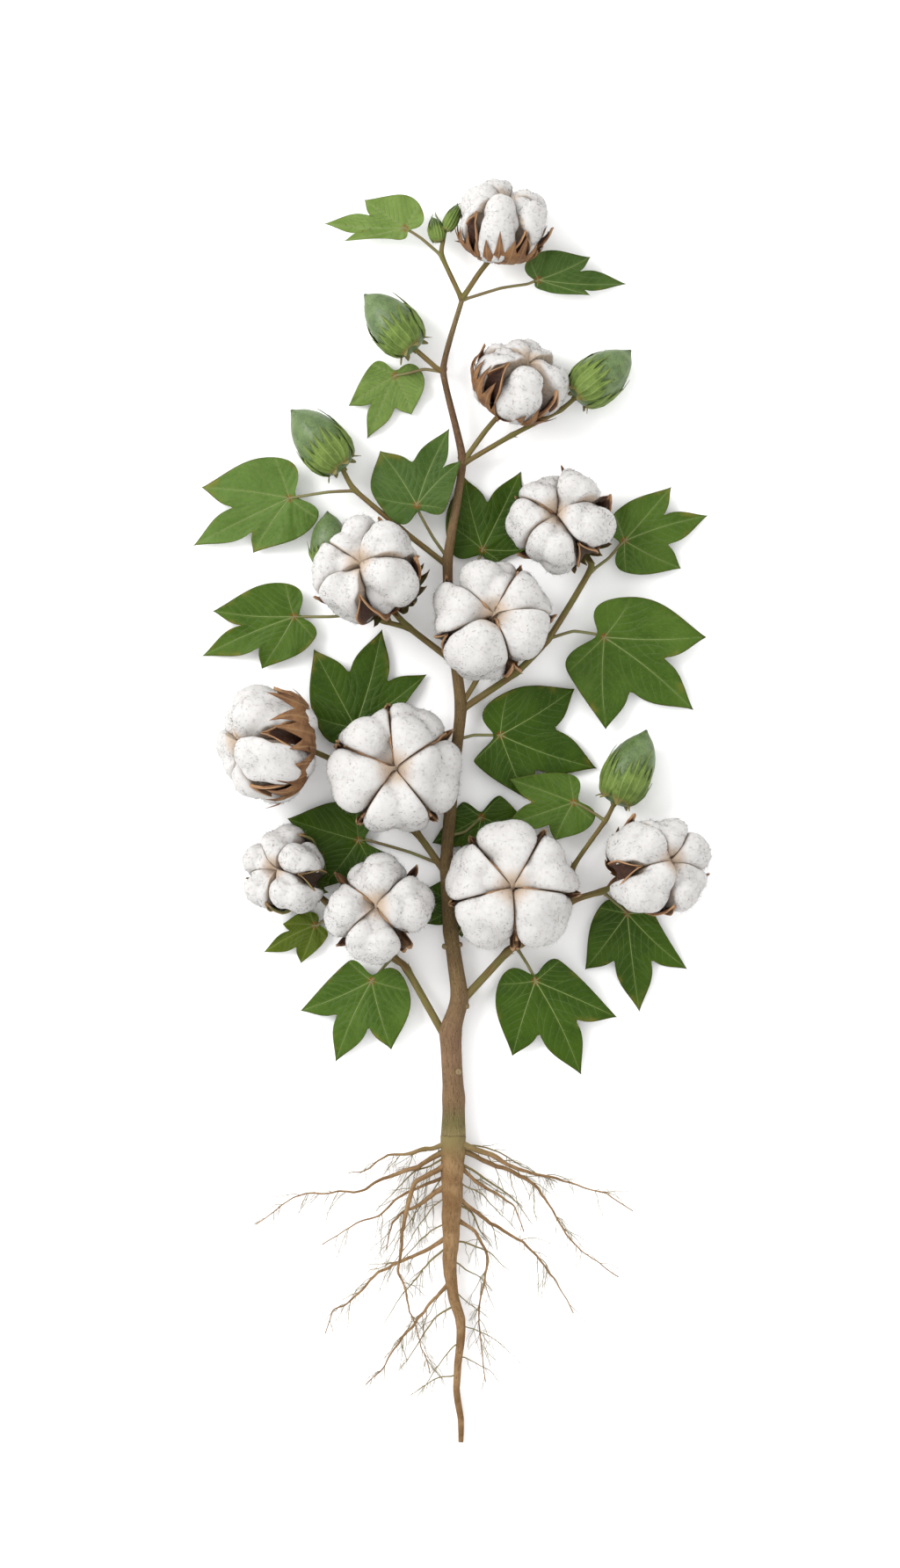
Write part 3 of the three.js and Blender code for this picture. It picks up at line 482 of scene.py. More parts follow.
class Paint:
    """A procedural material put together node by node."""

    def __init__(self, name, roughness=0.6, **sockets):
        self.material = bpy.data.materials.new(name)
        self.material.use_nodes = True
        self.tree = self.material.node_tree
        self.tree.nodes.clear()
        self.shader = self.tree.nodes.new("ShaderNodeBsdfPrincipled")
        output = self.tree.nodes.new("ShaderNodeOutputMaterial")
        self.tree.links.new(self.shader.outputs["BSDF"], output.inputs["Surface"])
        self.shader.inputs["Roughness"].default_value = roughness
        for key, value in sockets.items():
            self.shader.inputs[key.replace("_", " ")].default_value = value
        self.place = self.tree.nodes.new("ShaderNodeTexCoord").outputs["Object"]

    def link(self, value, socket):
        if isinstance(value, bpy.types.NodeSocket):
            self.tree.links.new(value, socket)
        else:
            socket.default_value = value

    def attribute(self, name):
        node = self.tree.nodes.new("ShaderNodeAttribute")
        node.attribute_name = name
        return node.outputs["Fac"]

    def flow(self):
        """The place on a limb's skin: round it in two numbers and along it, in millimetres."""
        node = self.tree.nodes.new("ShaderNodeCombineXYZ")
        for axis, key in zip("XYZ", ("flow_u", "flow_v", "flow_w")):
            self.link(self.attribute(key), node.inputs[axis])
        return node.outputs["Vector"]

    def stretched(self, vector, scale):
        node = self.tree.nodes.new("ShaderNodeMapping")
        self.link(vector, node.inputs["Vector"])
        node.inputs["Scale"].default_value = scale
        return node.outputs["Vector"]

    def noise(self, vector, scale, detail=3, rough=0.55, distortion=0.0):
        node = self.tree.nodes.new("ShaderNodeTexNoise")
        self.link(vector, node.inputs["Vector"])
        node.inputs["Scale"].default_value = scale
        node.inputs["Detail"].default_value = detail
        node.inputs["Roughness"].default_value = rough
        node.inputs["Distortion"].default_value = distortion
        return node.outputs["Fac"]

    def cells(self, vector, scale, feature="F1"):
        node = self.tree.nodes.new("ShaderNodeTexVoronoi")
        node.feature = feature
        self.link(vector, node.inputs["Vector"])
        node.inputs["Scale"].default_value = scale
        return node.outputs["Distance"]

    def span(self, value, low, high, to_low=0.0, to_high=1.0):
        node = self.tree.nodes.new("ShaderNodeMapRange")
        node.interpolation_type = "SMOOTHSTEP"
        self.link(value, node.inputs["Value"])
        for key, number in (("From Min", low), ("From Max", high), ("To Min", to_low), ("To Max", to_high)):
            node.inputs[key].default_value = number
        return node.outputs["Result"]

    def math(self, operation, a, b):
        node = self.tree.nodes.new("ShaderNodeMath")
        node.operation = operation
        self.link(a, node.inputs[0])
        self.link(b, node.inputs[1])
        return node.outputs[0]

    def mix(self, share, a, b):
        node = self.tree.nodes.new("ShaderNodeMix")
        node.data_type = "RGBA"
        self.link(share, node.inputs[0])
        self.link(a, node.inputs[6])
        self.link(b, node.inputs[7])
        return node.outputs[2]

    def over(self, colour, rgb, value, low, high, to_low=0.0, to_high=1.0):
        """A layer of one sRGB colour over another, as thick as the value's place between low and high."""
        return self.mix(self.span(value, low, high, to_low, to_high), colour, linear(rgb))

    def colour(self, value):
        self.link(value, self.shader.inputs["Base Color"])

    def bump(self, *heights):
        """Each height is (socket, millimetres)."""
        normal = None
        for height, depth in heights:
            node = self.tree.nodes.new("ShaderNodeBump")
            node.inputs["Strength"].default_value = 1.0
            node.inputs["Distance"].default_value = depth * MM
            self.link(height, node.inputs["Height"])
            if normal is not None:
                self.link(normal, node.inputs["Normal"])
            normal = node.outputs["Normal"]
        self.link(normal, self.shader.inputs["Normal"])


# ---- Stem, branches and roots -----------------------------------------------------------------------------

STEM_SIDES = 44
NODE_SPREAD = 6  # how far a node's swelling reaches along the stem


def stem_relief(node_lengths):
    """Swollen nodes, furrows that deepen towards the collar, and lumps."""

    def relief(angle, along):
        share = np.zeros_like(along)
        for at in node_lengths[1:-1]:
            share += 0.1 * np.exp(-(((along - at) / NODE_SPREAD) ** 2))
        low = 1 - smooth(along, 90, 330)
        around = skin(angle, along, 3, 40)
        fine = skin(angle, along, 9, 22)
        furrows = noise(around, 1.1, 3).reshape(along.shape)
        streaks = noise(fine, 1.3, 5).reshape(along.shape)
        lumps = noise(skin(angle, along, 2, 9), 1.6, 9)
        share += (0.018 + 0.035 * low) * furrows + (0.008 + 0.02 * low) * streaks
        share += 0.03 * lumps.reshape(along.shape)
        groove = np.exp(-(((angle - 2.05 + 0.1 * np.sin(along / 21)) / 0.13) ** 2))
        groove += 0.7 * np.exp(-(((angle - 2.5 + 0.08 * np.sin(along / 17)) / 0.1) ** 2))
        share -= 0.05 * groove * smooth(along, 12, 30) * (1 - smooth(along, 95, 110))
        return share

    return relief


def scar(shape, place, outward, radius, **facts):
    """A knob where a leaf or twig has dropped: a low mound with a dished end."""
    out = unit(outward)
    steps = np.array([-1.0, -0.3, 0.35, 0.7, 0.9, 0.72])
    radii = radius * np.array([1.3, 1.2, 1.0, 0.92, 0.72, 0.3])
    tube(shape, np.asarray(place) + steps[:, None] * radius * out, radii, 14, **facts)


def build_stem(bark):
    shape = Shape()
    path = spline(STEM, 2.2)
    along = lengths(path[:, :3])
    node_at = [along[np.argmin(np.linalg.norm(path[:, :3] - n[:3], axis=1))] for n in STEM]
    height = path[:, 1]
    tube(shape, path[:, :3], path[:, 3], STEM_SIDES, relief=stem_relief(node_at), up=height)
    for x, y, side, radius in ((-7.2, 129.6, -1, 1.9), (5.4, 130.8, 1, 1.7), (-7.6, 63.5, -1, 1.8),
                               (10.2, 89, 1, 2.3), (-7.4, 25.5, -1, 1.2)):
        scar(shape, (x * 0.82, y, 13), (side, 0.15, 0.3), radius, up=y, pale=0.5)
    scar(shape, (3.4, 44, 18.4), (0.2, 0, 1), 1.9, up=44, pale=1.0)
    for x, y, z, radius in STEM[7:12]:
        for side in (-1, 1):
            spike(shape, (x + side * radius * 0.7, y - 1, z), (side * 0.7, 1, 0.15), 3.8, 0.6,
                  (-side * 0.8, 0.4, 0), up=y, pale=0.6)
    piece("main_stem_bark", shape, [bark], "stem_bark", "main_stem")


def branch_ends():
    """Where a branch that ends in a boll runs to."""
    ends = {"green_" + key: foot for key, (foot, _, _, _) in GREEN_BOLLS.items()}
    ends.update({key: boll_frame(key)["foot"] for key in OPEN_BOLLS})
    return ends


def build_branches(bark):
    ends = branch_ends()
    for i, (name, ((foot, end), places, into)) in enumerate(BRANCHES.items()):
        shape = Shape()
        run = list(places) + ([tuple(ends[into])] if into else [])
        path = limb_line(run, foot, end, 1.8)
        along = lengths(path[:, :3])
        knots = [along[np.argmin(np.linalg.norm(path[:, :3] - p, axis=1))] for p in np.array(run)[1:-1]]

        def relief(angle, at, knots=knots, foot=foot, i=i):
            swell = sum(0.2 * np.exp(-(((at - k) / 3.2) ** 2)) for k in knots) + 0.35 * np.exp(-((at / 3.5) ** 2))
            spots = skin(angle, at, 3, 14)
            return swell + 0.035 * noise(spots, 1.1, 20 + i).reshape(at.shape)

        tube(shape, path[:, :3], path[:, 3], 24, relief=relief, grow=along / along[-1])
        for k in knots[:1]:
            j = int(np.argmin(np.abs(along - k)))
            ahead = unit(path[min(j + 2, len(path) - 1), :3] - path[j, :3])
            aside = np.array([-ahead[1], ahead[0], 0.2]) * (-1) ** i
            spike(shape, path[j, :3] + aside * path[j, 3] * 0.8, ahead + 0.5 * aside, 3.4, 0.5, aside * 0.5,
                  grow=0.5, pale=0.7)
        piece(name + "_bark", shape, [bark], "branch_bark", name)


SIDE_ROOTS = 18  # thin roots straight from the taproot, besides the named ones
ROOT_END = -207  # just above the taproot's cut tip: rootlets end before it


def wander(path, amount, scale, seed):
    """Small kinks in a root's line, none at its ends."""
    t = np.linspace(0, 1, len(path))
    ease = np.minimum(1, 5 * np.minimum(t, 1.02 - t))[:, None]
    across, along, lift = (noise(path + far, scale, seed + i) for i, far in enumerate((0, 50, -50)))
    shift = np.stack([across, along, 0.4 * lift], -1)
    return path + amount * ease * shift


def rootlets(shape, path, radii, count, reach, depth, seed):
    """Finer roots that leave a root on both sides, bend downwards and branch again."""
    rng = np.random.default_rng(seed)
    tangents, _, _ = line_frames(path)
    for at in np.sort(rng.uniform(0.1, 0.95, count)):
        j = int(at * (len(path) - 1))
        ahead = tangents[j]
        out = np.array([-ahead[1], ahead[0], 0]) * rng.choice((-1, 1))
        heading = unit(0.7 * ahead + rng.uniform(0.3, 0.9) * out + np.array([0, -0.3, 0]))
        length = reach * rng.uniform(0.3, 1.0) * (1.15 - 0.5 * at)
        length = min(length, 0.8 * (path[j, 1] - ROOT_END))
        if length > 3:
            hair = root_line(path[j], heading, length, rng.uniform(0.1, 0.5), 0.5, seed + j)
            thin_root(shape, hair, min(0.5 * radii[j], 0.14 + 0.008 * length), reach, depth, seed * 3 + j)


def root_line(start, heading, length, droop, rest, seed):
    """A thin root's wavering line, which sinks to the floor and bends towards the taproot's tip."""
    t = np.linspace(0, 1, max(9, int(length / 2.4)))[:, None]
    line = start + length * (t * heading + t**2 * np.array([0, -droop, 0]))
    line = wander(wander(line, 0.07 * length, 0.4 * length, seed), 0.5, 4, seed + 7)
    line[:, 2] = np.maximum(start[2] * (1 - t[:, 0]) ** 1.4 + rest * t[:, 0], 0.4)
    return line


def thin_root(shape, line, radius, reach, depth, seed):
    t = np.linspace(0, 1, len(line))
    radii = 0.1 + (radius - 0.1) * (1 - t) ** 0.8
    tube(shape, line, radii, 6, fine=1.0)
    if depth:
        rootlets(shape, line, radii, max(2, int(lengths(line)[-1] / 8)), 0.5 * reach, depth - 1, seed)


def side_roots(shape, path, radii):
    """The many thin side roots of the taproot."""
    rng = np.random.default_rng(83)
    for k in range(SIDE_ROOTS):
        down = (k + rng.uniform(0, 0.8)) / SIDE_ROOTS
        j = int(np.argmin(np.abs(path[:, 1] + 5 + 165 * down**1.25)))
        side = (-1) ** k
        slope = math.radians(rng.uniform(5, 50))
        heading = np.array([side * math.cos(slope), -math.sin(slope), 0])
        length = (78 - 46 * down) * rng.uniform(0.45, 1.1)
        start = path[j, :3] + np.array([side * 0.7 * radii[j], 0, rng.uniform(-0.3, 0.5) * radii[j]])
        line = root_line(start, heading, length, rng.uniform(0.1, 0.6), 0.6, 400 + k)
        thin_root(shape, line, rng.uniform(0.45, 0.95) * (1.1 - 0.4 * down), 30, 1, 450 + k)


def build_roots(bark):
    taproot = Shape()
    path = spline(TAPROOT, 2.0)
    path[:, :3] = wander(path[:, :3], 0.8, 14, 41)

    def relief(angle, along):
        spots = skin(angle, along, 3, 11)
        rings = skin(angle, along, 1, 3.5)
        return 0.11 * layered(spots, 1.4, 51).reshape(along.shape) + 0.035 * noise(rings, 1, 57).reshape(along.shape)

    tube(taproot, path[:, :3], path[:, 3], 40, relief=relief, up=path[:, 1])
    piece("taproot_bark", taproot, [bark], "root_bark", "taproot")
    fine = Shape()
    side_roots(fine, path, path[:, 3])
    for i, (key, (thick, places)) in enumerate(ROOTS.items()):
        shape = Shape()
        line = limb_line(places, 1, 0, 1.6)
        line[:, 3] = 0.35 + (0.5 * thick - 0.35) * np.clip(line[:, 3], 0, 1) ** 1.5
        line[:, :3] = wander(line[:, :3], 1.6, 13, 70 + i)
        line[:, :3] = wander(line[:, :3], 0.6, 5, 90 + i)
        line[:, 2] = np.maximum(line[:, 2], line[:, 3] + 0.15)

        def knots(angle, along, i=i):
            spots = skin(angle, along, 2, 5)
            flare = 0.55 * np.exp(-((along / 5) ** 2))
            return 0.13 * noise(spots, 1.1, 110 + i).reshape(along.shape) + flare

        tube(shape, line[:, :3], line[:, 3], 14, relief=knots, up=line[:, 1], grow=np.linspace(0, 1, len(line)))
        piece("root_" + key + "_bark", shape, [bark], "root_bark", "root_" + key)
        rootlets(fine, line[:, :3], line[:, 3], int(lengths(line[:, :3])[-1] / 8), 27, 1, 130 + i)
    piece("rootlets", fine, [bark], "root_bark")


# ---- Leaves -------------------------------------------------------------------------------------------------

RIM_POINTS = 128
BLADE_RINGS = 17
BEZIER_STEPS = 16


def bezier(points):
    """Points along a Bezier curve, the last left out."""
    t = np.arange(BEZIER_STEPS)[:, None] / BEZIER_STEPS
    points = [np.asarray(p, float) for p in points]
    if len(points) == 3:
        a, b, c = points
        return (1 - t) ** 2 * a + 2 * t * (1 - t) * b + t**2 * c
    a, b, c, d = points
    return (1 - t) ** 3 * a + 3 * t * (1 - t) ** 2 * b + 3 * t**2 * (1 - t) * c + t**3 * d


def lobe_side(start, end, cut_first):
    """A side of a lobe: it swells near the cut and is drawn out towards the tip."""
    along = LOBE_SHOULDER if cut_first else 1 - LOBE_SHOULDER
    out = np.array([end[1] - start[1], start[0] - end[0]])
    shoulder = start + along * (end - start) + 1.25 * LOBE_SWELL * out
    tip, cut = (end, start) if cut_first else (start, end)
    waist = tip + 0.3 * (cut - tip)
    return [start, shoulder, waist, end] if cut_first else [start, waist, shoulder, end]


def leaf_outline(notch, cheeks, lobes):
    start = polar(NOTCH_BACK, notch)
    first, last = polar(*cheeks[0]), polar(*cheeks[1])
    tips = [polar(*lobe) for lobe in lobes]
    cuts = [polar(SINUS * 0.5 * (a[0] + b[0]), 0.5 * (a[1] + b[1])) for a, b in zip(lobes, lobes[1:])]
    turn_out, turn_in = polar(cheeks[0][0], notch + CHEEK_TURN), polar(cheeks[1][0], notch - CHEEK_TURN)

    def onward(turn, cheek, tip):
        return cheek + CHEEK_RUN * np.linalg.norm(cheek - tip) * unit(cheek - turn)

    rim = [
        bezier([start, turn_out, first]),
        bezier([first, onward(turn_out, first, tips[0]), 0.25 * first + 0.75 * tips[0], tips[0]]),
        bezier(lobe_side(tips[0], cuts[0], False)), bezier(lobe_side(cuts[0], tips[1], True)),
        bezier(lobe_side(tips[1], cuts[1], False)), bezier(lobe_side(cuts[1], tips[2], True)),
        bezier([tips[2], 0.25 * last + 0.75 * tips[2], onward(turn_in, last, tips[2]), last]),
        bezier([last, turn_in, start]),
    ]
    rim = np.vstack(rim)
    sharp = np.min([np.linalg.norm(rim - tip, axis=1) for tip in tips], axis=0)
    for _ in range(4):
        even = 0.25 * np.roll(rim, 1, 0) + 0.5 * rim + 0.25 * np.roll(rim, -1, 0)
        rim = np.where((sharp > 3)[:, None], even, rim)
    steps = np.concatenate([[0], np.cumsum(np.linalg.norm(np.diff(np.vstack([rim, rim[:1]]), axis=0), axis=1))])
    even = np.arange(RIM_POINTS) * steps[-1] / RIM_POINTS
    closed = np.vstack([rim, rim[:1]])
    for mark in steps[[BEZIER_STEPS * k for k in (2, 4, 6)]]:  # the three tips are kept as corners
        even[np.argmin(np.abs(even - mark))] = mark
    return np.stack([np.interp(even, steps, closed[:, k]) for k in (0, 1)], -1)


class Leaf:
    """A leaf's outline, veins and the height of its blade, about its joint."""

    def __init__(self, key, spec, seed):
        self.at, self.notch, self.cheeks, self.lobes, self.fall, self.roll, self.stalk, self.shade = spec
        self.key, self.seed = key, seed
        self.rim = leaf_outline(self.notch, self.cheeks, self.lobes)
        self.rim_turn = np.unwrap(np.arctan2(self.rim[:, 1], self.rim[:, 0]))
        self.rim_reach = np.linalg.norm(self.rim, axis=1)
        self.size = self.lobes[1][0]
        self.main = [self.vein_to(reach * 0.97, degrees) for reach, degrees in self.lobes]
        self.main += [self.vein_to(reach * 0.93, degrees) for reach, degrees in self.cheeks]
        self.side = self.side_veins()

    def vein_to(self, reach, degrees):
        """A main vein, from the joint to near the tip of a lobe, a little bent at first."""
        t = np.linspace(0, 1, 26)[:, None]
        end = polar(reach, degrees)
        aside = np.array([-end[1], end[0]])
        sway = 0.03 * math.sin(1.7 * degrees + self.seed)
        return t * end + sway * np.sin(math.pi * t) * aside

    def share_out(self, points):
        """How far from the joint to the rim each point lies, from 0 to 1."""
        turn = np.arctan2(points[:, 1], points[:, 0])
        turns, order = np.unique(np.mod(self.rim_turn, 2 * math.pi), return_index=True)
        reach = self.rim_reach[order]
        limit = np.interp(np.mod(turn, 2 * math.pi), turns, reach, period=2 * math.pi)
        return np.linalg.norm(points, axis=1) / limit

    def side_veins(self):
        """Veins that leave the main ones on both sides, bend towards the tip and stop near the rim."""
        found = []
        for m, main in enumerate(self.main):
            steps = np.concatenate([[0], np.cumsum(np.linalg.norm(np.diff(main, axis=0), axis=1))])
            total = steps[-1]
            starts = np.arange(0.16, 0.9, 0.115 if m < 3 else 0.2)
            for share in starts:
                for side in (-1, 1):
                    at = (share + 0.04 * (side + 1) / 2) * total
                    spot = np.array([np.interp(at, steps, main[:, 0]), np.interp(at, steps, main[:, 1])])
                    j = min(np.searchsorted(steps, at), len(main) - 1)
                    ahead = unit(main[j] - main[j - 1])
                    turn = math.atan2(ahead[1], ahead[0]) + side * math.radians(58 - 14 * share)
                    line = [spot]
                    for step in range(34):
                        turn -= side * math.radians(1.1 + 0.05 * step)
                        new = line[-1] + 1.2 * np.array([math.cos(turn), math.sin(turn)])
                        if self.share_out(new[None])[0] > 0.955:
                            break
                        others = self.main[:m] + self.main[m + 1 :]
                        if min(np.min(np.linalg.norm(o - new, axis=1)) for o in others) < 1.8:
                            break
                        line.append(new)
                    if len(line) > 4:
                        found.append(np.array(line))
        return found

    def distance(self, points, lines):
        best = np.full(len(points), 1e9)
        for line in lines:
            a, b = line[:-1], line[1:]
            d = b - a
            length = np.maximum((d * d).sum(1), 1e-9)
            t = np.clip(((points[:, None] - a) * d).sum(-1) / length, 0, 1)
            gap = np.linalg.norm(points[:, None] - (a + t[..., None] * d), axis=-1)
            best = np.minimum(best, gap.min(1))
        return best

    def height(self, points):
        """Of the blade's middle surface above the floor."""
        length, degrees = self.lobes[1]
        heading = polar(1, degrees)
        ahead = points @ heading
        left = points[:, 1] * heading[0] - points[:, 0] * heading[1]
        z = self.at[2] - self.fall * np.sign(ahead) * np.abs(ahead / length) ** 1.5 + self.roll * left
        share = self.share_out(points)
        main = self.distance(points, self.main)
        side = self.distance(points, self.side)
        flat = np.column_stack([points, np.zeros(len(points))])
        z += 0.1 * np.minimum(main, 13) + 0.75 * (1 - np.exp(-((side / 2.6) ** 2))) * smooth(main, 0, 4)
        z += 2.2 * noise(flat, 26, self.seed) * smooth(np.linalg.norm(points, axis=1), 4, 40)
        wave = np.sin(np.arctan2(points[:, 1], points[:, 0]) * 9 + self.seed)
        z += 1.1 * wave * np.clip(share, 0, 1) ** 4 + 0.5 * noise(flat, 7, self.seed + 3) * share**2
        tip = np.min([np.linalg.norm(points - polar(*lobe), axis=1) for lobe in self.lobes], axis=0)
        z -= 1.6 * np.exp(-((tip / 7) ** 2))
        return np.maximum(z, 0.5 + 0.15 * noise(flat, 9, self.seed + 5))


def vein_ridge(shape, leaf, line, wide, narrow, under=False, slot=1):
    """A raised vein along a line on the blade, thinning to its end."""
    n = len(line)
    t = np.linspace(0, 1, n)
    half = 0.5 * (wide * (1 - t) + narrow * t)
    ahead = unit(np.gradient(line, axis=0))
    aside = np.stack([-ahead[:, 1], ahead[:, 0]], -1)
    side = -1 if under else 1
    rows = []
    for offset, rise in ((-1, -0.12), (-0.45, 0.75), (0.45, 0.75), (1, -0.12)):
        place = line + offset * half[:, None] * aside
        z = leaf.height(line) + side * (0.18 + rise * half * 0.8)
        rows.append(np.column_stack([place, z]))
    points = np.stack(rows, 1).reshape(-1, 3) + np.array([leaf.at[0], leaf.at[1], 0])
    faces = np.vstack([grid_faces(n, 4, True), [[3, 2, 1, 0]], np.arange(4) + 4 * n - 4])
    shape.add(points, [faces if under else faces[:, ::-1]], slot)


def build_leaf(key, spec, seed, paints):
    leaf = Leaf(key, spec, seed)
    shape = Shape()
    shares = np.linspace(0.03, 1, BLADE_RINGS) ** 0.85
    flat = (shares[:, None, None] * leaf.rim[None]).reshape(-1, 2)
    flat = np.vstack([flat, [[0, 0]]])
    z = leaf.height(flat)
    share = np.concatenate([np.repeat(shares, RIM_POINTS), [0]])
    vein = np.exp(-((leaf.distance(flat, leaf.main) / 1.6) ** 2))
    side = np.exp(-((leaf.distance(flat, leaf.side) / 1.1) ** 2))
    thick = 0.2 * (1 - 0.6 * share**3)
    top = np.column_stack([flat, z + thick]) + np.array([leaf.at[0], leaf.at[1], 0])
    low = np.column_stack([flat, z - thick]) + np.array([leaf.at[0], leaf.at[1], 0])
    n, rows = RIM_POINTS, BLADE_RINGS
    quads = grid_faces(rows, n, True)
    centre = rows * n
    total = centre + 1
    rim_row = (rows - 1) * n + np.arange(n)
    wall = np.stack([rim_row, rim_row + total, np.roll(rim_row, -1) + total, np.roll(rim_row, -1)], -1)
    faces = [
        np.vstack([quads[:, ::-1], quads + total, wall]),
        np.vstack([fan(centre, np.arange(n), False), fan(centre + total, np.arange(n) + total, True)]),
    ]
    shape.add(np.vstack([top, low]), faces, 0, vein=np.tile(vein, 2), side=np.tile(side, 2), rim=np.tile(share, 2),
              near=np.tile(np.exp(-((np.linalg.norm(flat, axis=1) / 3) ** 2)), 2))
    for i, line in enumerate(leaf.main):
        scale = leaf.size / 70
        vein_ridge(shape, leaf, line, (0.95 if i < 3 else 0.65) * scale, 0.18)
        vein_ridge(shape, leaf, line[::2], 1.3 * scale, 0.3, under=True)
    for line in leaf.side:
        vein_ridge(shape, leaf, line[::2], 0.34, 0.12, slot=3)
    length, degrees = leaf.lobes[1]
    end = polar(PETIOLE_REACH * length, degrees)
    lift = leaf.height(np.array([[0.0, 0.0], end]))
    run = [*leaf.stalk, (leaf.at[0], leaf.at[1], lift[0] - 0.5),
           (leaf.at[0] + end[0], leaf.at[1] + end[1], lift[1] - 0.4)]
    path = limb_line(run, 1.15, 0.8, 1.5)

    def swell(angle, along):
        last = along.max()
        return 0.5 * np.exp(-((along / 2.5) ** 2)) + 0.25 * np.exp(-(((along - last + 4) / 2.5) ** 2))

    tube(shape, path[:, :3], path[:, 3], 12, 2, relief=swell, grow=np.linspace(0, 1, len(path)))
    materials = [paints[k] for k in (leaf.shade, "vein", "petiole", "veinlet")]
    piece("leaf_" + key + "_blade", shape, materials, "leaf", "leaf_" + key)


# ---- Open bolls ---------------------------------------------------------------------------------------------

LOCK_COLUMNS, LOCK_ROWS = 48, 32
LOCK_POWER = 2.05  # over 2, a lock is fuller than an ellipsoid
LOCK_PRESS = 8  # the higher, the sharper the valley where two locks press on each other
TUFTS = 7  # rounded tufts on a lock
PEDUNCLE = 1.9, 1.7  # radius of a boll's stalk at its foot and at the boll
FIBRES = 5000  # fine fibres that stand off an open boll
SEAM_GAP, RAY_GAP = 0.001, 0.003  # between two locks, and what a ray adds to it, as shares of the width
FIBRE_FOOT, FIBRE_HALF, FIBRE_DEEP = 0.2, 0.04, 0.06  # sunk into the lock, half width and height, in mm


def boll_frame(key):
    """An open boll's middle, foot and axes: columns for turn 0, turn 90 and the way it faces."""
    boll = OPEN_BOLLS[key]
    face = Vector(boll["face"]).normalized()
    turn = Vector((0, 1, 0)).rotation_difference(face)
    axes = np.array([turn @ Vector(v) for v in ((1, 0, 0), (0, 0, -1), (0, 1, 0))]).T
    tall, rise = boll.get("tall", LOCK_TALL), boll.get("up", LOCK_UP)
    up = np.array([0, 0, 1.0]) @ axes
    level = math.sqrt(max(0, 1 - up[2] ** 2))
    lean = math.hypot(LOCK_RADIUS * level, tall * up[2])
    lows = [LOCK_RING * (math.cos(math.radians(a)) * up[0] + math.sin(math.radians(a)) * up[1]) + rise * up[2] - lean
            for a in boll["locks"]]
    lows.append(-BUR_DOWN * up[2] - math.hypot(0.3 * level, BUR_DEEP * up[2]))
    low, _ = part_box("boll_" + key)
    lift = (low.z - ORIGIN[2]) / MM
    middle = np.array([*boll["at"], lift - boll["across"] * min(lows)])
    foot = middle - np.array(face) * boll["across"] * (BUR_DOWN + 0.5 * BUR_DEEP)
    return {"middle": middle, "axes": axes, "foot": foot, "across": boll["across"], "face": np.array(face),
            "tall": tall, "up": rise, "locks": [math.radians(a) for a in boll["locks"]]}


def around(turn, radial, tangential, height):
    """Points about a boll's axis: how far out along a turn, aside from it and up."""
    c, s = np.cos(turn), np.sin(turn)
    return np.stack([radial * c - tangential * s, radial * s + tangential * c, height], -1)


class Placing:
    """Takes places given as shares of a boll's width about its middle to the plan."""

    def __init__(self, made):
        self.axes, self.middle, self.across = made["axes"], made["middle"], made["across"]
        self.tall, self.up, self.locks = made["tall"], made["up"], made["locks"]

    def __call__(self, points):
        return self.middle + self.across * np.asarray(points) @ self.axes.T

    def envelope(self, turn, lift):
        """How far the locks reach from the middle along a direction."""
        turn, lift = np.broadcast_arrays(turn, lift)
        best = np.full(turn.shape, 0.2)
        for lock in self.locks:
            off = turn - lock
            d = np.stack([np.cos(lift) * np.cos(off) / LOCK_RADIUS, np.cos(lift) * np.sin(off) / LOCK_RADIUS,
                          np.sin(lift) / self.tall], -1)
            c = np.array([LOCK_RING / LOCK_RADIUS, 0, self.up / self.tall])
            a, b = (d * d).sum(-1), d @ c
            inside = b * b - a * (c @ c - 1)
            best = np.maximum(best, np.where(inside > 0, (b + np.sqrt(np.maximum(inside, 0))) / a, 0))
        return best


def puffed(ball, seed):
    """The share by which a lock's tufts stand out or fall in: round tufts with soft valleys between them."""
    middles = np.random.default_rng(seed).normal(size=(40, 3))
    chosen = [unit(middles[0])]
    for middle in unit(middles[1:]):
        if len(chosen) < TUFTS and min(np.linalg.norm(middle - other) for other in chosen) > 0.75:
            chosen.append(middle)
    angle = np.arccos(np.clip(unit(ball) @ np.array(chosen).T, -1, 1))
    nearest = -np.log(np.exp(-16 * angle).sum(1)) / 16
    tufts = 1 - np.clip(nearest / 0.9, 0, 1.1) ** 2
    return (0.84 + 0.31 * tufts + 0.05 * noise(ball, 0.75, seed) + 0.025 * noise(ball, 0.33, seed + 1)
            + 0.01 * noise(ball, 0.15, seed + 2) + 0.005 * noise(ball, 0.07, seed + 3))


def seam_room(radial, height, angle, valve_at):
    """How far a lock may reach sideways towards the valve beside it, as shares of the boll's width."""
    _, half, reach, tip, ray = valve_at
    opening = 1.05 * max(half - 0.015, 0) * smooth(radial, 0.16, 0.34) * (1 - smooth(height, tip - 0.08, tip + 0.04))
    seam = SEAM_GAP + (RAY_GAP if ray else 0) * (1 - smooth(radial, ray * reach, ray * reach + 0.05))
    return np.maximum(np.maximum(radial, 0) * math.tan(min(angle, 1.2)) - seam - opening, 0.015)


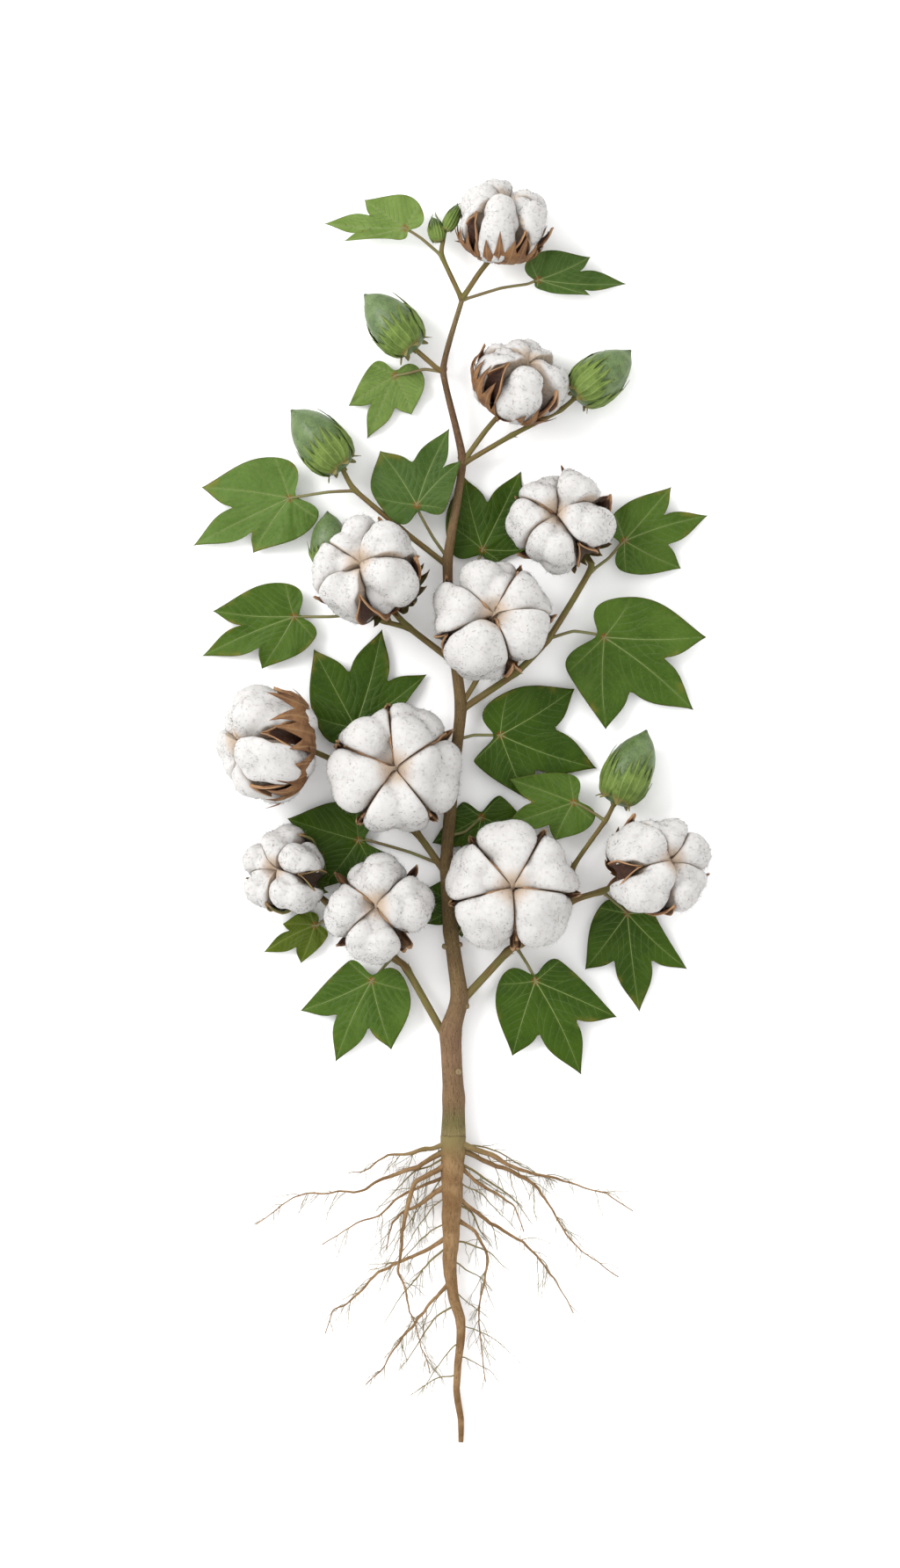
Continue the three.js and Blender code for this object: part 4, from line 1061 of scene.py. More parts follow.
def lock_surface(turn, left, right, valves, place, seed):
    """A lock of cotton as shares of the boll's width: a puff held in the wedge between two valves."""
    rows, columns = LOCK_ROWS, LOCK_COLUMNS
    tilt = np.linspace(0.05, math.pi - 0.05, rows)
    azimuth = np.arange(columns) * 2 * math.pi / columns
    p, a = np.meshgrid(tilt, azimuth, indexing="ij")
    ball = np.stack([np.sin(p) * np.cos(a), np.sin(p) * np.sin(a), np.cos(p)], -1).reshape(-1, 3)
    ball = np.vstack([ball, [[0, 0, 1]], [[0, 0, -1]]])
    full = (np.abs(ball) ** LOCK_POWER).sum(1) ** (-1 / LOCK_POWER)
    ball = ball * (full * puffed(ball, seed))[:, None]
    shift = 0.022 * noise(np.array([[seed * 1.7, 3, 5], [seed * 2.3, 7, 1], [seed * 3.1, 2, 8]]), 0.9, 5)
    radial = LOCK_RING + shift[0] + LOCK_RADIUS * ball[:, 0]
    aside = LOCK_WIDTH * ball[:, 1]
    height = place.up + 1.4 * shift[1] + place.tall * (1 + 3 * shift[2]) * ball[:, 2]
    room = np.where(aside > 0, seam_room(radial, height, left, valves[0]), seam_room(radial, height, right, valves[1]))
    pressed = np.abs(aside) / room
    held = aside / (1 + pressed**LOCK_PRESS) ** (1 / LOCK_PRESS)
    # Painted shade: a mask that is high where the lock presses on its neighbour and where it dips to the boll's
    # middle.
    crease = np.maximum(0.8 * smooth(pressed, 0.75, 1.4), 1 - smooth(radial, 0.0, 0.24))
    points = around(turn, radial, held, height)
    return points, capped_faces(rows, columns, flip=True), crease


def fibres(shape, points, quads, count, seed):
    """Fine cotton fibres that stand a little off a surface, each a slender closed spike that shades like the lock."""
    rng = np.random.default_rng(seed)
    a, b, c = points[quads[:, 0]], points[quads[:, 1]], points[quads[:, 3]]
    cross = np.cross(b - a, c - a)
    area = np.linalg.norm(cross, axis=1)
    pick = rng.choice(len(quads), count, p=area / area.sum())
    u, v = rng.random((2, count, 1))
    foot = a[pick] + u * (b[pick] - a[pick]) + v * (c[pick] - a[pick])
    normal = unit(cross[pick])
    tangent = unit(np.cross(normal, rng.normal(size=(count, 3))))
    heading = unit(normal * rng.uniform(0.2, 1.5, (count, 1)) + tangent)
    length = 0.8 + 3.4 * rng.random((count, 1)) ** 2
    aside = unit(np.cross(heading, normal)) * FIBRE_HALF
    above = unit(np.cross(aside, heading)) * FIBRE_DEEP
    sunk = FIBRE_FOOT * normal
    points = np.stack([foot - aside - sunk, foot + aside - sunk, foot + above, foot + length * heading], 1)
    start = 4 * np.arange(count)[:, None, None]
    faces = (start + np.array([[0, 1, 3], [1, 2, 3], [2, 0, 3], [0, 2, 1]])).reshape(-1, 3)
    shape.add(points.reshape(-1, 3), [faces], 0, normals=np.repeat(normal, 4, axis=0))


VALLEY = [(-90, 0.25), (-60, 0.31), (-40, 0.38), (-20, 0.43), (0, 0.452), (20, 0.445), (40, 0.41), (60, 0.37)]


def shell_faces(rows, columns):
    """Faces of a sheet with two sides: the outer grid of points, then the inner one."""
    n = rows * columns
    quads = grid_faces(rows, columns, False)
    left, right = np.arange(rows) * columns, np.arange(rows) * columns + columns - 1
    edge = np.concatenate([np.arange(columns), right[1:], (n - 1 - np.arange(columns))[1:], left[::-1][1:-1]])
    wall = np.stack([edge, edge + n, np.roll(edge, -1) + n, np.roll(edge, -1)], -1)
    return np.vstack([quads, quads[:, ::-1] + n, wall])


def valve(shape, place, spec, gap, seed):
    """A boat-shaped valve of the bur that lies between two locks: a hollow painted dark, the bur's darker inside with
    painted shade on it, with tan rims and a curled tip.
    """
    degrees, half, reach, tip, wall = spec
    turn = math.radians(degrees)
    t = np.linspace(0, 1, 26)[:, None]
    u = np.linspace(-1, 1, 21)[None]
    end = math.atan2(tip, reach)
    lift = math.radians(-84) + (end + math.radians(84)) * t
    angles, reaches = np.array(VALLEY).T
    middle = np.interp(np.degrees(lift), angles, reaches)
    middle = middle + (math.hypot(reach, tip) - middle[-1]) * smooth(t, 0.6, 1.0)
    middle = middle + 0.012 + 0.02 * smooth(t, 0.93, 1.0)
    hollow = half * smooth(t, 0.1, 0.42) * (1 - smooth(t, 0.7, 1.0)) + 0.003
    rim = 0.02 - 0.015 * smooth(t, 0.75, 1.0)
    wing = 0.16 * (1 - smooth(t, 0.22, 0.6)) + 0.002
    side = np.abs(u)
    inner_part = np.clip(side / 0.5, 0, 1)
    rim_part, wing_part = (np.clip((side - start) / 0.25, 0, 1) for start in (0.5, 0.75))
    aside = np.sign(u) * (hollow * inner_part + rim * rim_part + wing * wing_part)
    swing = np.clip(aside / np.maximum(middle * np.cos(lift), 0.02), -gap, gap)
    deep = (0.25 * half + 0.012) * smooth(t, 0.12, 0.4) * (1 - 0.8 * smooth(t, 0.8, 1.0))
    arch = np.sin(math.pi * np.clip((side - 0.42) / 0.42, 0, 1))
    out = middle - deep * 1.6 * (1 - inner_part**2) + (0.012 + 0.1 * half) * arch * smooth(t, 0.08, 0.3)
    hug = place.envelope(turn + swing, lift) + 0.01
    out = out + (hug - middle) * wing_part**0.6 * (1 - smooth(t, 0.5, 0.8))
    grain = np.column_stack([(u * 3 + 0 * t).ravel(), (t * 5 + 0 * u).ravel(), np.full(t.size * u.size, seed)])
    out = out + 0.008 * noise(grain, 0.9, seed).reshape(out.shape)
    out = out + 0.006 * noise(grain * 3, 0.9, seed).reshape(out.shape)
    sway = 0.02 * math.sin(seed * 2.3) * smooth(t, 0.5, 1.0)
    layers = []
    for depth in (0, -0.012):
        far = out + depth * (1 - 0.6 * smooth(t, 0.8, 1.0))
        flat, heading = far * np.cos(lift), turn + swing + sway
        layer = np.stack([flat * np.cos(heading), flat * np.sin(heading), far * np.sin(lift) + 0 * swing], -1)
        layers.append(layer.reshape(-1, 3))
    points = place(np.vstack(layers))
    # The hollow is painted dark: the bur's darker inside and painted shade in the hollow; less where a ray stands in
    # the wall.
    dark = (1 - smooth(side, 0.42, 0.56)) * smooth(t, 0.12, 0.25) * (1 - smooth(t, 0.9, 0.99)) * (1 - wall)
    tan = np.exp(-(((side - 0.64) / 0.13) ** 2)) * smooth(t, 0.1, 0.25)
    tan = np.maximum(tan, smooth(t, 0.86, 0.96) * (1 - 0.6 * dark))
    tan = np.maximum(tan, 0.9 * wall) + 0 * u
    shape.add(points, [shell_faces(t.size, u.size)], 0, inner=np.tile(dark.ravel(), 2), rim=np.tile(tan.ravel(), 2))


def ray(shape, place, spec, angle, seed):
    """The tan edge of the wall between two locks, from the boll's middle out towards the valve's tip."""
    degrees, _, reach, tip, share = spec
    turn = math.radians(degrees)
    out = np.linspace(0.0, share * (reach - 0.02), max(6, int(26 * share)))
    x = np.abs((out - LOCK_RING) / LOCK_RADIUS) ** LOCK_POWER
    y = np.minimum(out * math.tan(angle) / LOCK_WIDTH, 0.93) ** LOCK_POWER
    height = place.up + place.tall * np.clip(1 - x - y, 0.02, 1) ** (1 / LOCK_POWER)
    if share > 0.9:
        last = smooth(out, reach - 0.16, reach - 0.02)
        height = height * (1 - last) + (tip + 0.015) * last
    height = height - 0.012 - 0.02 * smooth(share * reach - out, 0.03, 0) * (share < 0.9)
    spots = np.column_stack([out, out * 0 + seed, out * 0])
    aside = 0.010 * noise(spots, 0.055, seed) * smooth(out, 0, 0.06)
    line = place(around(turn, out, aside, height + 0.006 * noise(spots, 0.03, seed + 2)))
    thick = 0.5 + 0.25 * noise(spots, 0.04, seed + 4) * smooth(out, 0, 0.05)
    thick = thick * (1 - 0.55 * smooth(out, 0.7 * out[-1], out[-1]) * (share < 0.9))

    def ragged(angle, along):
        spots = skin(angle, along, 1, 1.6)
        return 0.35 * noise(spots, 0.8, seed).reshape(along.shape)

    # The ray is painted dark at its inner end, as shade towards the boll's middle, and its flanks a little, as shade
    # beside it.
    tube(shape, line, thick, 7, relief=ragged, rim=0.8 * smooth(out, 0.0, 0.08),
         inner=0.7 - 0.7 * smooth(out, 0.02, 0.1))
    for side in (-1, 1):
        shift = place.axes @ np.array([-math.sin(turn), math.cos(turn), 0]) * side * 0.75 - 0.7 * place.axes[:, 2]
        tube(shape, (line + shift)[2:], 0.5 * thick[2:], 5, rim=0.55, inner=0.1)


def arc_profile(radii, heights):
    """A body's side line from its foot, by the length along it: radius and height at each length."""
    line = np.column_stack([radii, heights])
    steps = np.concatenate([[0], np.cumsum(np.linalg.norm(np.diff(line, axis=0), axis=1))])

    def at(length):
        up = np.maximum(length, 0)
        radius, height = np.interp(up, steps, line[:, 0]), np.interp(up, steps, line[:, 1])
        beyond = np.maximum(up - steps[-1], 0)
        down = np.maximum(-length, 0)
        return radius + 0.6 * down - 0.3 * beyond, height + beyond - 0.6 * down

    return at


def boll_profile(place):
    """The side line of an open boll's cup and locks, from the foot, in millimetres."""
    lift = np.radians(np.linspace(-86, 35, 30))
    out = place.envelope(place.locks[0], lift) + 0.02
    foot = -(BUR_DOWN + 0.5 * BUR_DEEP)
    radii, heights = out * np.cos(lift), out * np.sin(lift)
    radii, heights = np.concatenate([[0.03], radii]), np.concatenate([[foot], heights]) - foot
    return arc_profile(place.across * radii, place.across * heights)


def bract(shape, foot, axes, turn, profile, size, spread, seed, teeth, tooth, flare, crumple, ear, slim=0.98):
    """A fringed bract that hugs a boll from its foot: a veined blade with two round ears and slender teeth."""
    rng = np.random.default_rng(seed)
    per = 6
    columns = teeth * per + 1
    s = np.linspace(-1, 1, columns)
    cell = np.minimum(np.arange(columns) // per, teeth - 1)
    x = (np.arange(columns) - cell * per) / per * 2 - 1
    vary = rng.uniform(0.7, 1.2, teeth)[cell]
    lean = rng.normal(0, 1, teeth)[cell]
    bell = np.cos(0.5 * math.pi * s * 0.94)
    blade_top = size * (1 - tooth) * (0.4 + 0.6 * bell**0.8)
    long = size * tooth * (0.35 + 0.65 * bell**0.8) * vary
    point = np.clip(1 - np.abs(x) / slim, 0, 1) ** 1.25
    ears = ear * size * np.exp(-(((np.abs(s) - 0.6) / 0.28) ** 2)) - 0.02 * size
    rows = 17
    v = np.linspace(0, 1, rows)[:, None] ** 1.1
    length = -ears + v * (ears + blade_top + long * point)
    over = np.clip((length - blade_top) / np.maximum(long, 1e-6), 0, 1)
    radius, height = profile(length)
    across = np.broadcast_to(s * 3 * spread, length.shape).ravel()
    grid = np.column_stack([across, (length / size * 2.2).ravel(), np.full(length.size, seed * 1.0)])
    folds = noise(grid, 0.5, seed).reshape(length.shape)
    outward = 0.6 + flare * size * np.clip(length / size, 0, 1) ** 2 * (0.5 + 0.5 * np.abs(lean))
    outward = outward + crumple * folds + 0.25 * np.cos(x * math.pi) * (1 - over) * smooth(length, 0, 0.3 * size)
    outward = outward + 0.05 * size * over**2 * lean
    width = spread * (0.68 + 0.32 * smooth(length, -0.1 * size, 0.3 * size))
    angle = turn + s * width + 0.08 * lean * over**1.5 + 0.02 * folds
    (wide_a, high_a), (wide_b, high_b) = profile(length - 1.0), profile(length + 1.0)
    facing = unit(np.stack([high_b - high_a, wide_a - wide_b], -1) + 1e-6)
    layers = []
    for depth in (0.13, -0.13):
        out = radius + facing[..., 0] * (outward + depth)
        up = height + facing[..., 1] * (outward + depth)
        layers.append(np.stack([out * np.cos(angle), out * np.sin(angle), up], -1).reshape(-1, 3))
    points = np.vstack(layers) @ axes.T + foot
    vein = np.broadcast_to(np.exp(-((x / 0.3) ** 2)), length.shape).ravel()
    near = (1 - smooth(length, 0.0, 0.16 * size)).ravel()
    shape.add(points, [shell_faces(rows, columns)], 0, vein=np.tile(vein, 2), tip=np.tile(over.ravel(), 2),
              near=np.tile(near, 2))


DRY_LOOKS = {"dry": "bract_dry", "papery": "bract_dry", "olive": "bract_olive", "green": "bract"}


def build_open_boll(key, seed, paints):
    boll = OPEN_BOLLS[key]
    made = boll_frame(key)
    place = Placing(made)
    across = boll["across"]
    valves = [(v[0] % 360, *v[1:]) for v in boll["valves"]]
    cotton = Shape()
    locks = len(boll["locks"])
    for i, degrees in enumerate(boll["locks"]):
        ahead = min(valves, key=lambda v: (v[0] - degrees) % 360)
        behind = min(valves, key=lambda v: (degrees - v[0]) % 360)
        left = math.radians((ahead[0] - degrees) % 360)
        right = math.radians((degrees - behind[0]) % 360)
        points, faces, crease = lock_surface(math.radians(degrees), left, right, (ahead, behind), place, seed * 10 + i)
        points = place(points)
        cotton.add(points, faces, 0, crease=crease)
        fibres(cotton, points, faces[0], FIBRES // locks, seed * 10 + i)
    piece("boll_" + key + "_cotton", cotton, [paints["cotton"]], "cotton", "boll_" + key)

    bur = Shape()
    turns = sorted(v[0] for v in valves)
    for i, spec in enumerate(valves):
        others = [abs((spec[0] - t + 180) % 360 - 180) for t in turns if t != spec[0]]
        gap = math.radians(0.56 * min(others))
        valve(bur, place, spec, gap, seed * 7 + i)
        if spec[4]:
            ray(bur, place, spec, min(gap, 0.75), seed * 7 + i)
    if any(v[4] for v in valves):
        # A small body at the middle where the rays meet, painted dark as the shade in the dip there.
        heart = place(np.array([[0, 0, 0.13], [0, 0, 0.19], [0.004, 0, 0.215]]))
        tube(bur, heart, [0.03 * across, 0.022 * across, 0.3], 9, inner=1.0)
    look = "bur_green" if boll["bract_look"] == "green" else "bur"
    piece("boll_" + key + "_bur", bur, [paints[look]], "bur", "boll_" + key)

    if boll["bracts"]:
        bracts = Shape()
        papery = boll["bract_look"] == "papery"
        size = 0.92 if boll["face"][2] < 0.6 else 0.75
        for i, (degrees, scale) in enumerate(boll["bracts"]):
            bract(bracts, made["foot"], made["axes"], math.radians(degrees), boll_profile(place),
                  size * across * scale, 0.95, seed * 13 + i, teeth=7, tooth=0.28,
                  flare=0.07 if papery else 0.03, crumple=1.0 if papery else 0.5, ear=0.16)
        piece("boll_" + key + "_bracts", bracts, [paints[DRY_LOOKS[boll["bract_look"]]]], "bract", "boll_" + key)

    stalk = Shape()
    if "stalk" in boll:
        run = [*boll["stalk"], tuple(made["foot"])]
        path = limb_line(run, *PEDUNCLE, 1.6)

        def swell(angle, along):
            return 0.3 * np.exp(-((along / 3) ** 2)) + 0.5 * np.exp(-(((along - along.max()) / 4) ** 2))

        tube(stalk, path[:, :3], path[:, 3], 18, relief=swell, grow=0.5)
    cup = np.linspace(0, 1, 9)[:, None]
    line = made["foot"] + made["face"] * (-3 + cup * (4 + 0.02 * across))
    tube(stalk, line, 2.0 + 0.1 * across * cup[:, 0] ** 0.6, 20, grow=0.6)
    piece("boll_" + key + "_stalk", stalk, [paints["branch"]], "branch_bark", "boll_" + key)


# ---- Green bolls and buds -------------------------------------------------------------------------------------

GREEN_PROFILE = [(-0.06, 0.15), (-0.03, 0.5), (0.06, 0.8), (0.2, 0.97), (0.36, 1.0), (0.55, 0.92), (0.72, 0.74),
                 (0.85, 0.48), (0.93, 0.24), (0.975, 0.1), (1.0, 0.045)]


def axes_of(direction):
    """A frame whose third axis is the given direction, and whose second faces up."""
    z = unit(direction)
    x = unit(np.cross((0, 0, 1), z))
    y = np.cross(z, x)
    return np.stack([x, y, z], -1)


def egg_profile(length, radius, from_foot=0.0):
    heights, widths = np.array(GREEN_PROFILE).T
    h = np.linspace(from_foot, 1, 40)
    return arc_profile(radius * np.interp(h, heights, widths), length * (h - from_foot))


def build_egg(shape, foot, tip, radius, seed, seams=4, columns=52):
    foot, tip = np.asarray(foot, float), np.asarray(tip, float)
    length = np.linalg.norm(tip - foot)
    axes = axes_of(tip - foot)
    profile = spline(np.column_stack([np.array(GREEN_PROFILE), np.zeros(len(GREEN_PROFILE))]), 0.03, 0.5)[:, :2]
    rows = len(profile)
    turn = np.arange(columns) * 2 * math.pi / columns
    h, a = np.meshgrid(profile[:, 0], turn, indexing="ij")
    r = np.broadcast_to(profile[:, 1][:, None], h.shape).copy()
    spacing = 2 * math.pi / seams
    off = (a - 0.35 * seed + 0.5 * spacing) % spacing - 0.5 * spacing
    upper = smooth(h, 0.05, 0.4)
    r *= 1 - 0.045 * np.exp(-((off / 0.09) ** 2)) * upper + 0.02 * np.cos(off / spacing * 2 * math.pi) * upper
    beak = smooth(h, 0.88, 1.0)
    local = np.stack([radius * r * np.cos(a), radius * r * np.sin(a), length * h], -1)
    local[..., 0] += 1.2 * beak
    lumps = noise(local.reshape(-1, 3), 8, seed).reshape(h.shape)
    local[..., :2] *= (1 + 0.012 * lumps)[..., None]
    points = local.reshape(-1, 3) @ axes.T + foot
    ends = np.array([[0, 0, length * profile[0, 0]], [1.2, 0, length * 1.005]]) @ axes.T + foot
    seam = np.exp(-((off * radius * np.maximum(r, 0.1) / 0.55) ** 2)) * smooth(h, 0.25, 0.5)
    seam = np.maximum(seam, beak).ravel()
    shape.add(np.vstack([points, ends]), capped_faces(rows, columns), 0, seam=np.concatenate([seam, [0, 1]]))
    return axes, length


GREEN_BRACTS = {  # turn about the boll, and its length along the boll as a share of the boll's
    "top": [(80, 0.66), (-32, 0.85), (202, 0.85)],
    "right": [(75, 0.74), (-45, 0.85), (195, 0.75)],
    "low_right": [(120, 0.78), (15, 0.72), (-110, 0.75)],
    "left": [(85, 0.66), (-35, 0.76), (205, 0.84)],
    "behind": [(70, 0.5), (-40, 0.6), (190, 0.6)],
}


def build_green_boll(key, seed, paints):
    foot, tip, radius, stalk = GREEN_BOLLS[key]
    shape = Shape()
    radius = radius * 0.96
    axes, length = build_egg(shape, foot, tip, radius, seed)
    piece("green_boll_" + key + "_husk", shape, [paints["boll"]], "boll_green", "green_boll_" + key)
    bracts = Shape()
    for i, (degrees, scale) in enumerate(GREEN_BRACTS[key]):
        bract(bracts, np.asarray(foot, float) - axes[:, 2] * 0.5, axes, math.radians(degrees),
              egg_profile(length, radius * 1.02), length * scale, 1.05, seed * 11 + i, teeth=7, tooth=0.42,
              flare=0.02, crumple=0.35, ear=0.18)
    piece("green_boll_" + key + "_bracts", bracts, [paints["bract"]], "bract", "green_boll_" + key)
    stem = Shape()
    foot = np.asarray(foot, float)
    if stalk:
        run = [*stalk, tuple(foot)]
        path = limb_line(run, *PEDUNCLE, 1.6)
        tube(stem, path[:, :3], path[:, 3], 16, grow=0.5)
    line = foot + np.linspace(-0.1, 0.04, 7)[:, None] * length * axes[:, 2]
    tube(stem, line, np.array([1.8, 2.0, 2.4, 3.0, 3.6, 4.2, 4.0]) * radius / 17, 18, grow=0.3)
    piece("green_boll_" + key + "_stalk", stem, [paints["branch"]], "branch_bark", "green_boll_" + key)


def build_buds(paints):
    husk, bracts, stalk = Shape(), Shape(), Shape()
    for i, (foot, tip, radius) in enumerate(BUDS):
        axes, length = build_egg(husk, foot, tip, radius * 0.8, 31 + i, columns=28)
        for k, degrees in enumerate((90, -30, 210)):
            bract(bracts, np.asarray(foot, float), axes, math.radians(degrees), egg_profile(length, radius * 0.84),
                  length * 1.15, 1.1, 300 + 10 * i + k, teeth=5 if i else 6, tooth=0.3 if i else 0.42, flare=0.0,
                  crumple=0.15, ear=0.1, slim=0.8)
    path = limb_line(BUD_STALK, 1.3, 1.0, 1.2)
    tube(stalk, path[:, :3], path[:, 3], 12, grow=0.2)
    for side in (-1, 1):
        spike(stalk, (-6.5, 615, 20), (side * 0.8, 1, 0.2), 5, 0.6, grow=0.2, pale=0.6)
    piece("flower_buds_husk", husk, [paints["boll"]], "boll_green", "flower_buds")
    piece("flower_buds_bracts", bracts, [paints["bract"]], "bract", "flower_buds")
    piece("flower_buds_stalk", stalk, [paints["branch"]], "branch_bark", "flower_buds")


# ---- The paints ---------------------------------------------------------------------------------------------


def leaf_paint(name, base, dark, vein):
    """A blade's green, its net of veins, the brown rim and the rust at the joint."""
    p = Paint(name, 0.5, Specular_IOR_Level=0.1)
    colour = p.mix(p.span(p.noise(p.place, 38, 4), 0.35, 0.65), linear(dark), linear(base))
    mottle = p.span(p.noise(p.place, 420, 3), 0.35, 0.75, 0, 0.3)
    colour = p.mix(mottle, colour, linear(np.array(base) * 1.15))
    net = p.cells(p.place, 480, "DISTANCE_TO_EDGE")
    colour = p.over(colour, vein, net, 0.0, 0.1, 0.12, 0)
    colour = p.over(colour, vein, p.attribute("side"), 0.3, 1, 0, 0.1)
    colour = p.over(colour, vein, p.attribute("vein"), 0.3, 1, 0, 0.25)
    worn = p.math("MULTIPLY", p.span(p.noise(p.place, 60, 3), 0.52, 0.7), p.span(p.attribute("rim"), 0.84, 1))
    colour = p.mix(p.math("MULTIPLY", worn, 0.6), colour, linear((150, 135, 55)))
    colour = p.over(colour, (96, 84, 36), p.attribute("rim"), 0.972, 1, 0, 0.75)
    colour = p.over(colour, (150, 82, 40), p.attribute("near"), 0.2, 0.9, 0, 0.8)
    p.colour(colour)
    p.bump((net, 0.1), (p.attribute("side"), -0.16), (p.noise(p.place, 1500, 2), 0.08))
    return p.material


CRACKS, LENTICELS = (72, 54, 36), (60, 46, 32)


def stem_paint(*stops):
    """Bark with streaks along the stem. Each stop is a height in millimetres and the colour there."""
    p = Paint("stem_skin", 0.8, Specular_IOR_Level=0.2)
    up = p.attribute("up")
    colour = linear(stops[0][1])
    for (low, _), (high, rgb) in zip(stops, stops[1:]):
        colour = p.over(colour, rgb, up, low, high)
    flow = p.flow()
    long = p.noise(p.stretched(flow, (1.1, 1.1, 0.09)), 1, 4, 0.6, 0.3)
    short = p.noise(p.stretched(flow, (2.6, 2.6, 0.5)), 1, 3, 0.6)
    colour = p.over(colour, CRACKS, long, 0.3, 0.5, 0.5, 0)
    light = tuple(min(255, c * 1.4) for c in stops[-1][1])
    colour = p.over(colour, light, short, 0.5, 0.75, 0, 0.45)
    colour = p.over(colour, CRACKS, p.noise(p.place, 55, 3), 0.35, 0.65, 0.25, 0)
    spots = p.cells(p.stretched(flow, (0.5, 0.5, 0.28)), 1)
    colour = p.over(colour, LENTICELS, spots, 0.08, 0.2, 0.8, 0)
    colour = p.over(colour, (178, 158, 118), p.attribute("pale"), 0, 1, 0, 0.75)
    p.colour(colour)
    p.bump((long, 0.5), (short, 0.175))
    return p.material


COLLAR = (150, 134, 88)


def root_paint():
    p = Paint("root_skin", 0.85, Specular_IOR_Level=0.15)
    flow = p.flow()
    long = p.noise(p.stretched(flow, (0.9, 0.9, 0.16)), 1, 4, 0.6, 0.4)
    rings = p.noise(p.stretched(flow, (0.5, 0.5, 1.3)), 1, 3, 0.6)
    colour = p.mix(p.span(p.noise(p.place, 70, 3), 0.3, 0.7), linear((142, 108, 70)), linear((182, 148, 106)))
    colour = p.over(colour, (106, 74, 44), long, 0.3, 0.52, 0.7, 0)
    colour = p.over(colour, (208, 178, 136), rings, 0.55, 0.75, 0, 0.35)
    colour = p.over(colour, (112, 80, 50), p.noise(p.place, 420, 3), 0.55, 0.7, 0, 0.4)
    colour = p.over(colour, (204, 176, 140), p.attribute("fine"), 0, 1, 0, 0.5)
    colour = p.over(colour, COLLAR, p.attribute("up"), -20, 0)
    p.colour(colour)
    p.bump((long, 0.5), (rings, 0.25))
    return p.material


def branch_paint():
    p = Paint("branch_skin", 0.7, Specular_IOR_Level=0.25)
    flow = p.flow()
    long = p.noise(p.stretched(flow, (0.9, 0.9, 0.08)), 1, 4, 0.55, 0.2)
    spots = p.cells(p.stretched(flow, (0.7, 0.7, 0.4)), 1)
    colour = p.mix(p.span(p.noise(p.place, 48, 3), 0.38, 0.62), linear((122, 88, 52)), linear((120, 118, 56)))
    colour = p.over(colour, (138, 122, 70), long, 0.36, 0.62)
    colour = p.over(colour, (116, 92, 58), p.attribute("grow"), 0, 0.2, 0.5, 0)
    colour = p.over(colour, (66, 48, 28), spots, 0.06, 0.17, 0.7, 0)
    colour = p.over(colour, (176, 166, 112), p.attribute("pale"), 0, 1, 0, 0.7)
    p.colour(colour)
    p.bump((long, 0.35), (p.noise(p.place, 1600, 2), 0.08))
    return p.material


def cotton_paint():
    p = Paint("cotton_lint", 1.0, Specular_IOR_Level=0.05)
    tufts = p.noise(p.place, 230, 4, 0.62, 0.8)
    threads = p.noise(p.stretched(p.place, (900, 1500, 1200)), 1, 4, 0.7, 1.5)
    colour = p.mix(p.span(tufts, 0.25, 0.75), linear((238, 235, 231)), linear((248, 246, 244)))
    # Painted shade: warm beige laid into the creases between locks and the dip at the middle.
    colour = p.over(colour, (216, 188, 158), p.attribute("crease"), 0.15, 1.0, 0, 0.85)
    p.colour(colour)
    p.bump((tufts, 0.2), (threads, 0.09))
    return p.material


def bur_paint(name, outside, inside, rim):
    p = Paint(name, 0.65, Specular_IOR_Level=0.3)
    grain = p.noise(p.stretched(p.place, (500, 500, 500)), 1, 4, 0.65, 1.0)
    colour = p.mix(p.span(grain, 0.35, 0.65), linear(np.array(outside) * 0.78), linear(outside))
    # Painted shade: the darker inside colour is laid over the hollows and the boll's middle, as the bur's own inside
    # and the shade there.
    hollow = p.mix(p.span(grain, 0.3, 0.7), linear(np.array(inside) * 0.7), linear(np.array(inside) * 1.25))
    colour = p.mix(p.attribute("inner"), colour, hollow)
    colour = p.over(colour, rim, p.attribute("rim"), 0.25, 0.8)
    colour = p.over(colour, np.array(inside) * 1.1, p.noise(p.place, 900, 2), 0.6, 0.75, 0, 0.5)
    p.colour(colour)
    p.bump((grain, 0.3))
    return p.material


def bract_paint(name, blade, patches, vein, tips, joint):
    p = Paint(name, 0.6, Specular_IOR_Level=0.25)
    wide = p.noise(p.place, 110, 4, 0.6)
    colour = p.mix(p.span(wide, 0.35, 0.62), linear(patches), linear(blade))
    colour = p.over(colour, np.array(patches) * 0.85, p.noise(p.place, 900, 3), 0.35, 0.7, 0.3, 0)
    colour = p.over(colour, vein, p.attribute("vein"), 0.55, 1, 0, 0.6)
    colour = p.over(colour, tips, p.attribute("tip"), 0.35, 1, 0, 0.7)
    colour = p.over(colour, joint, p.attribute("near"), 0.1, 1, 0, 0.55)
    p.colour(colour)
    p.bump((p.attribute("vein"), 0.2), (p.noise(p.place, 1300, 3), 0.12))
    return p.material


def boll_paint():
    p = Paint("green_husk", 0.42, Specular_IOR_Level=0.4)
    colour = p.mix(p.span(p.noise(p.place, 160, 3), 0.35, 0.65), linear((88, 114, 60)), linear((114, 140, 80)))
    colour = p.over(colour, (136, 160, 104), p.noise(p.place, 900, 2), 0.4, 0.7, 0, 0.4)
    colour = p.over(colour, (48, 66, 34), p.cells(p.place, 300), 0.1, 0.2, 0.8, 0)
    colour = p.over(colour, (70, 82, 44), p.attribute("seam"), 0.5, 1, 0, 0.7)
    p.colour(colour)
    p.bump((p.noise(p.place, 1100, 2), 0.1))
    return p.material


def plain_paint(name, colours, scale, roughness):
    p = Paint(name, roughness)
    p.colour(p.mix(p.span(p.noise(p.place, scale, 3), 0.3, 0.7), linear(colours[0]), linear(colours[1])))
    return p.material


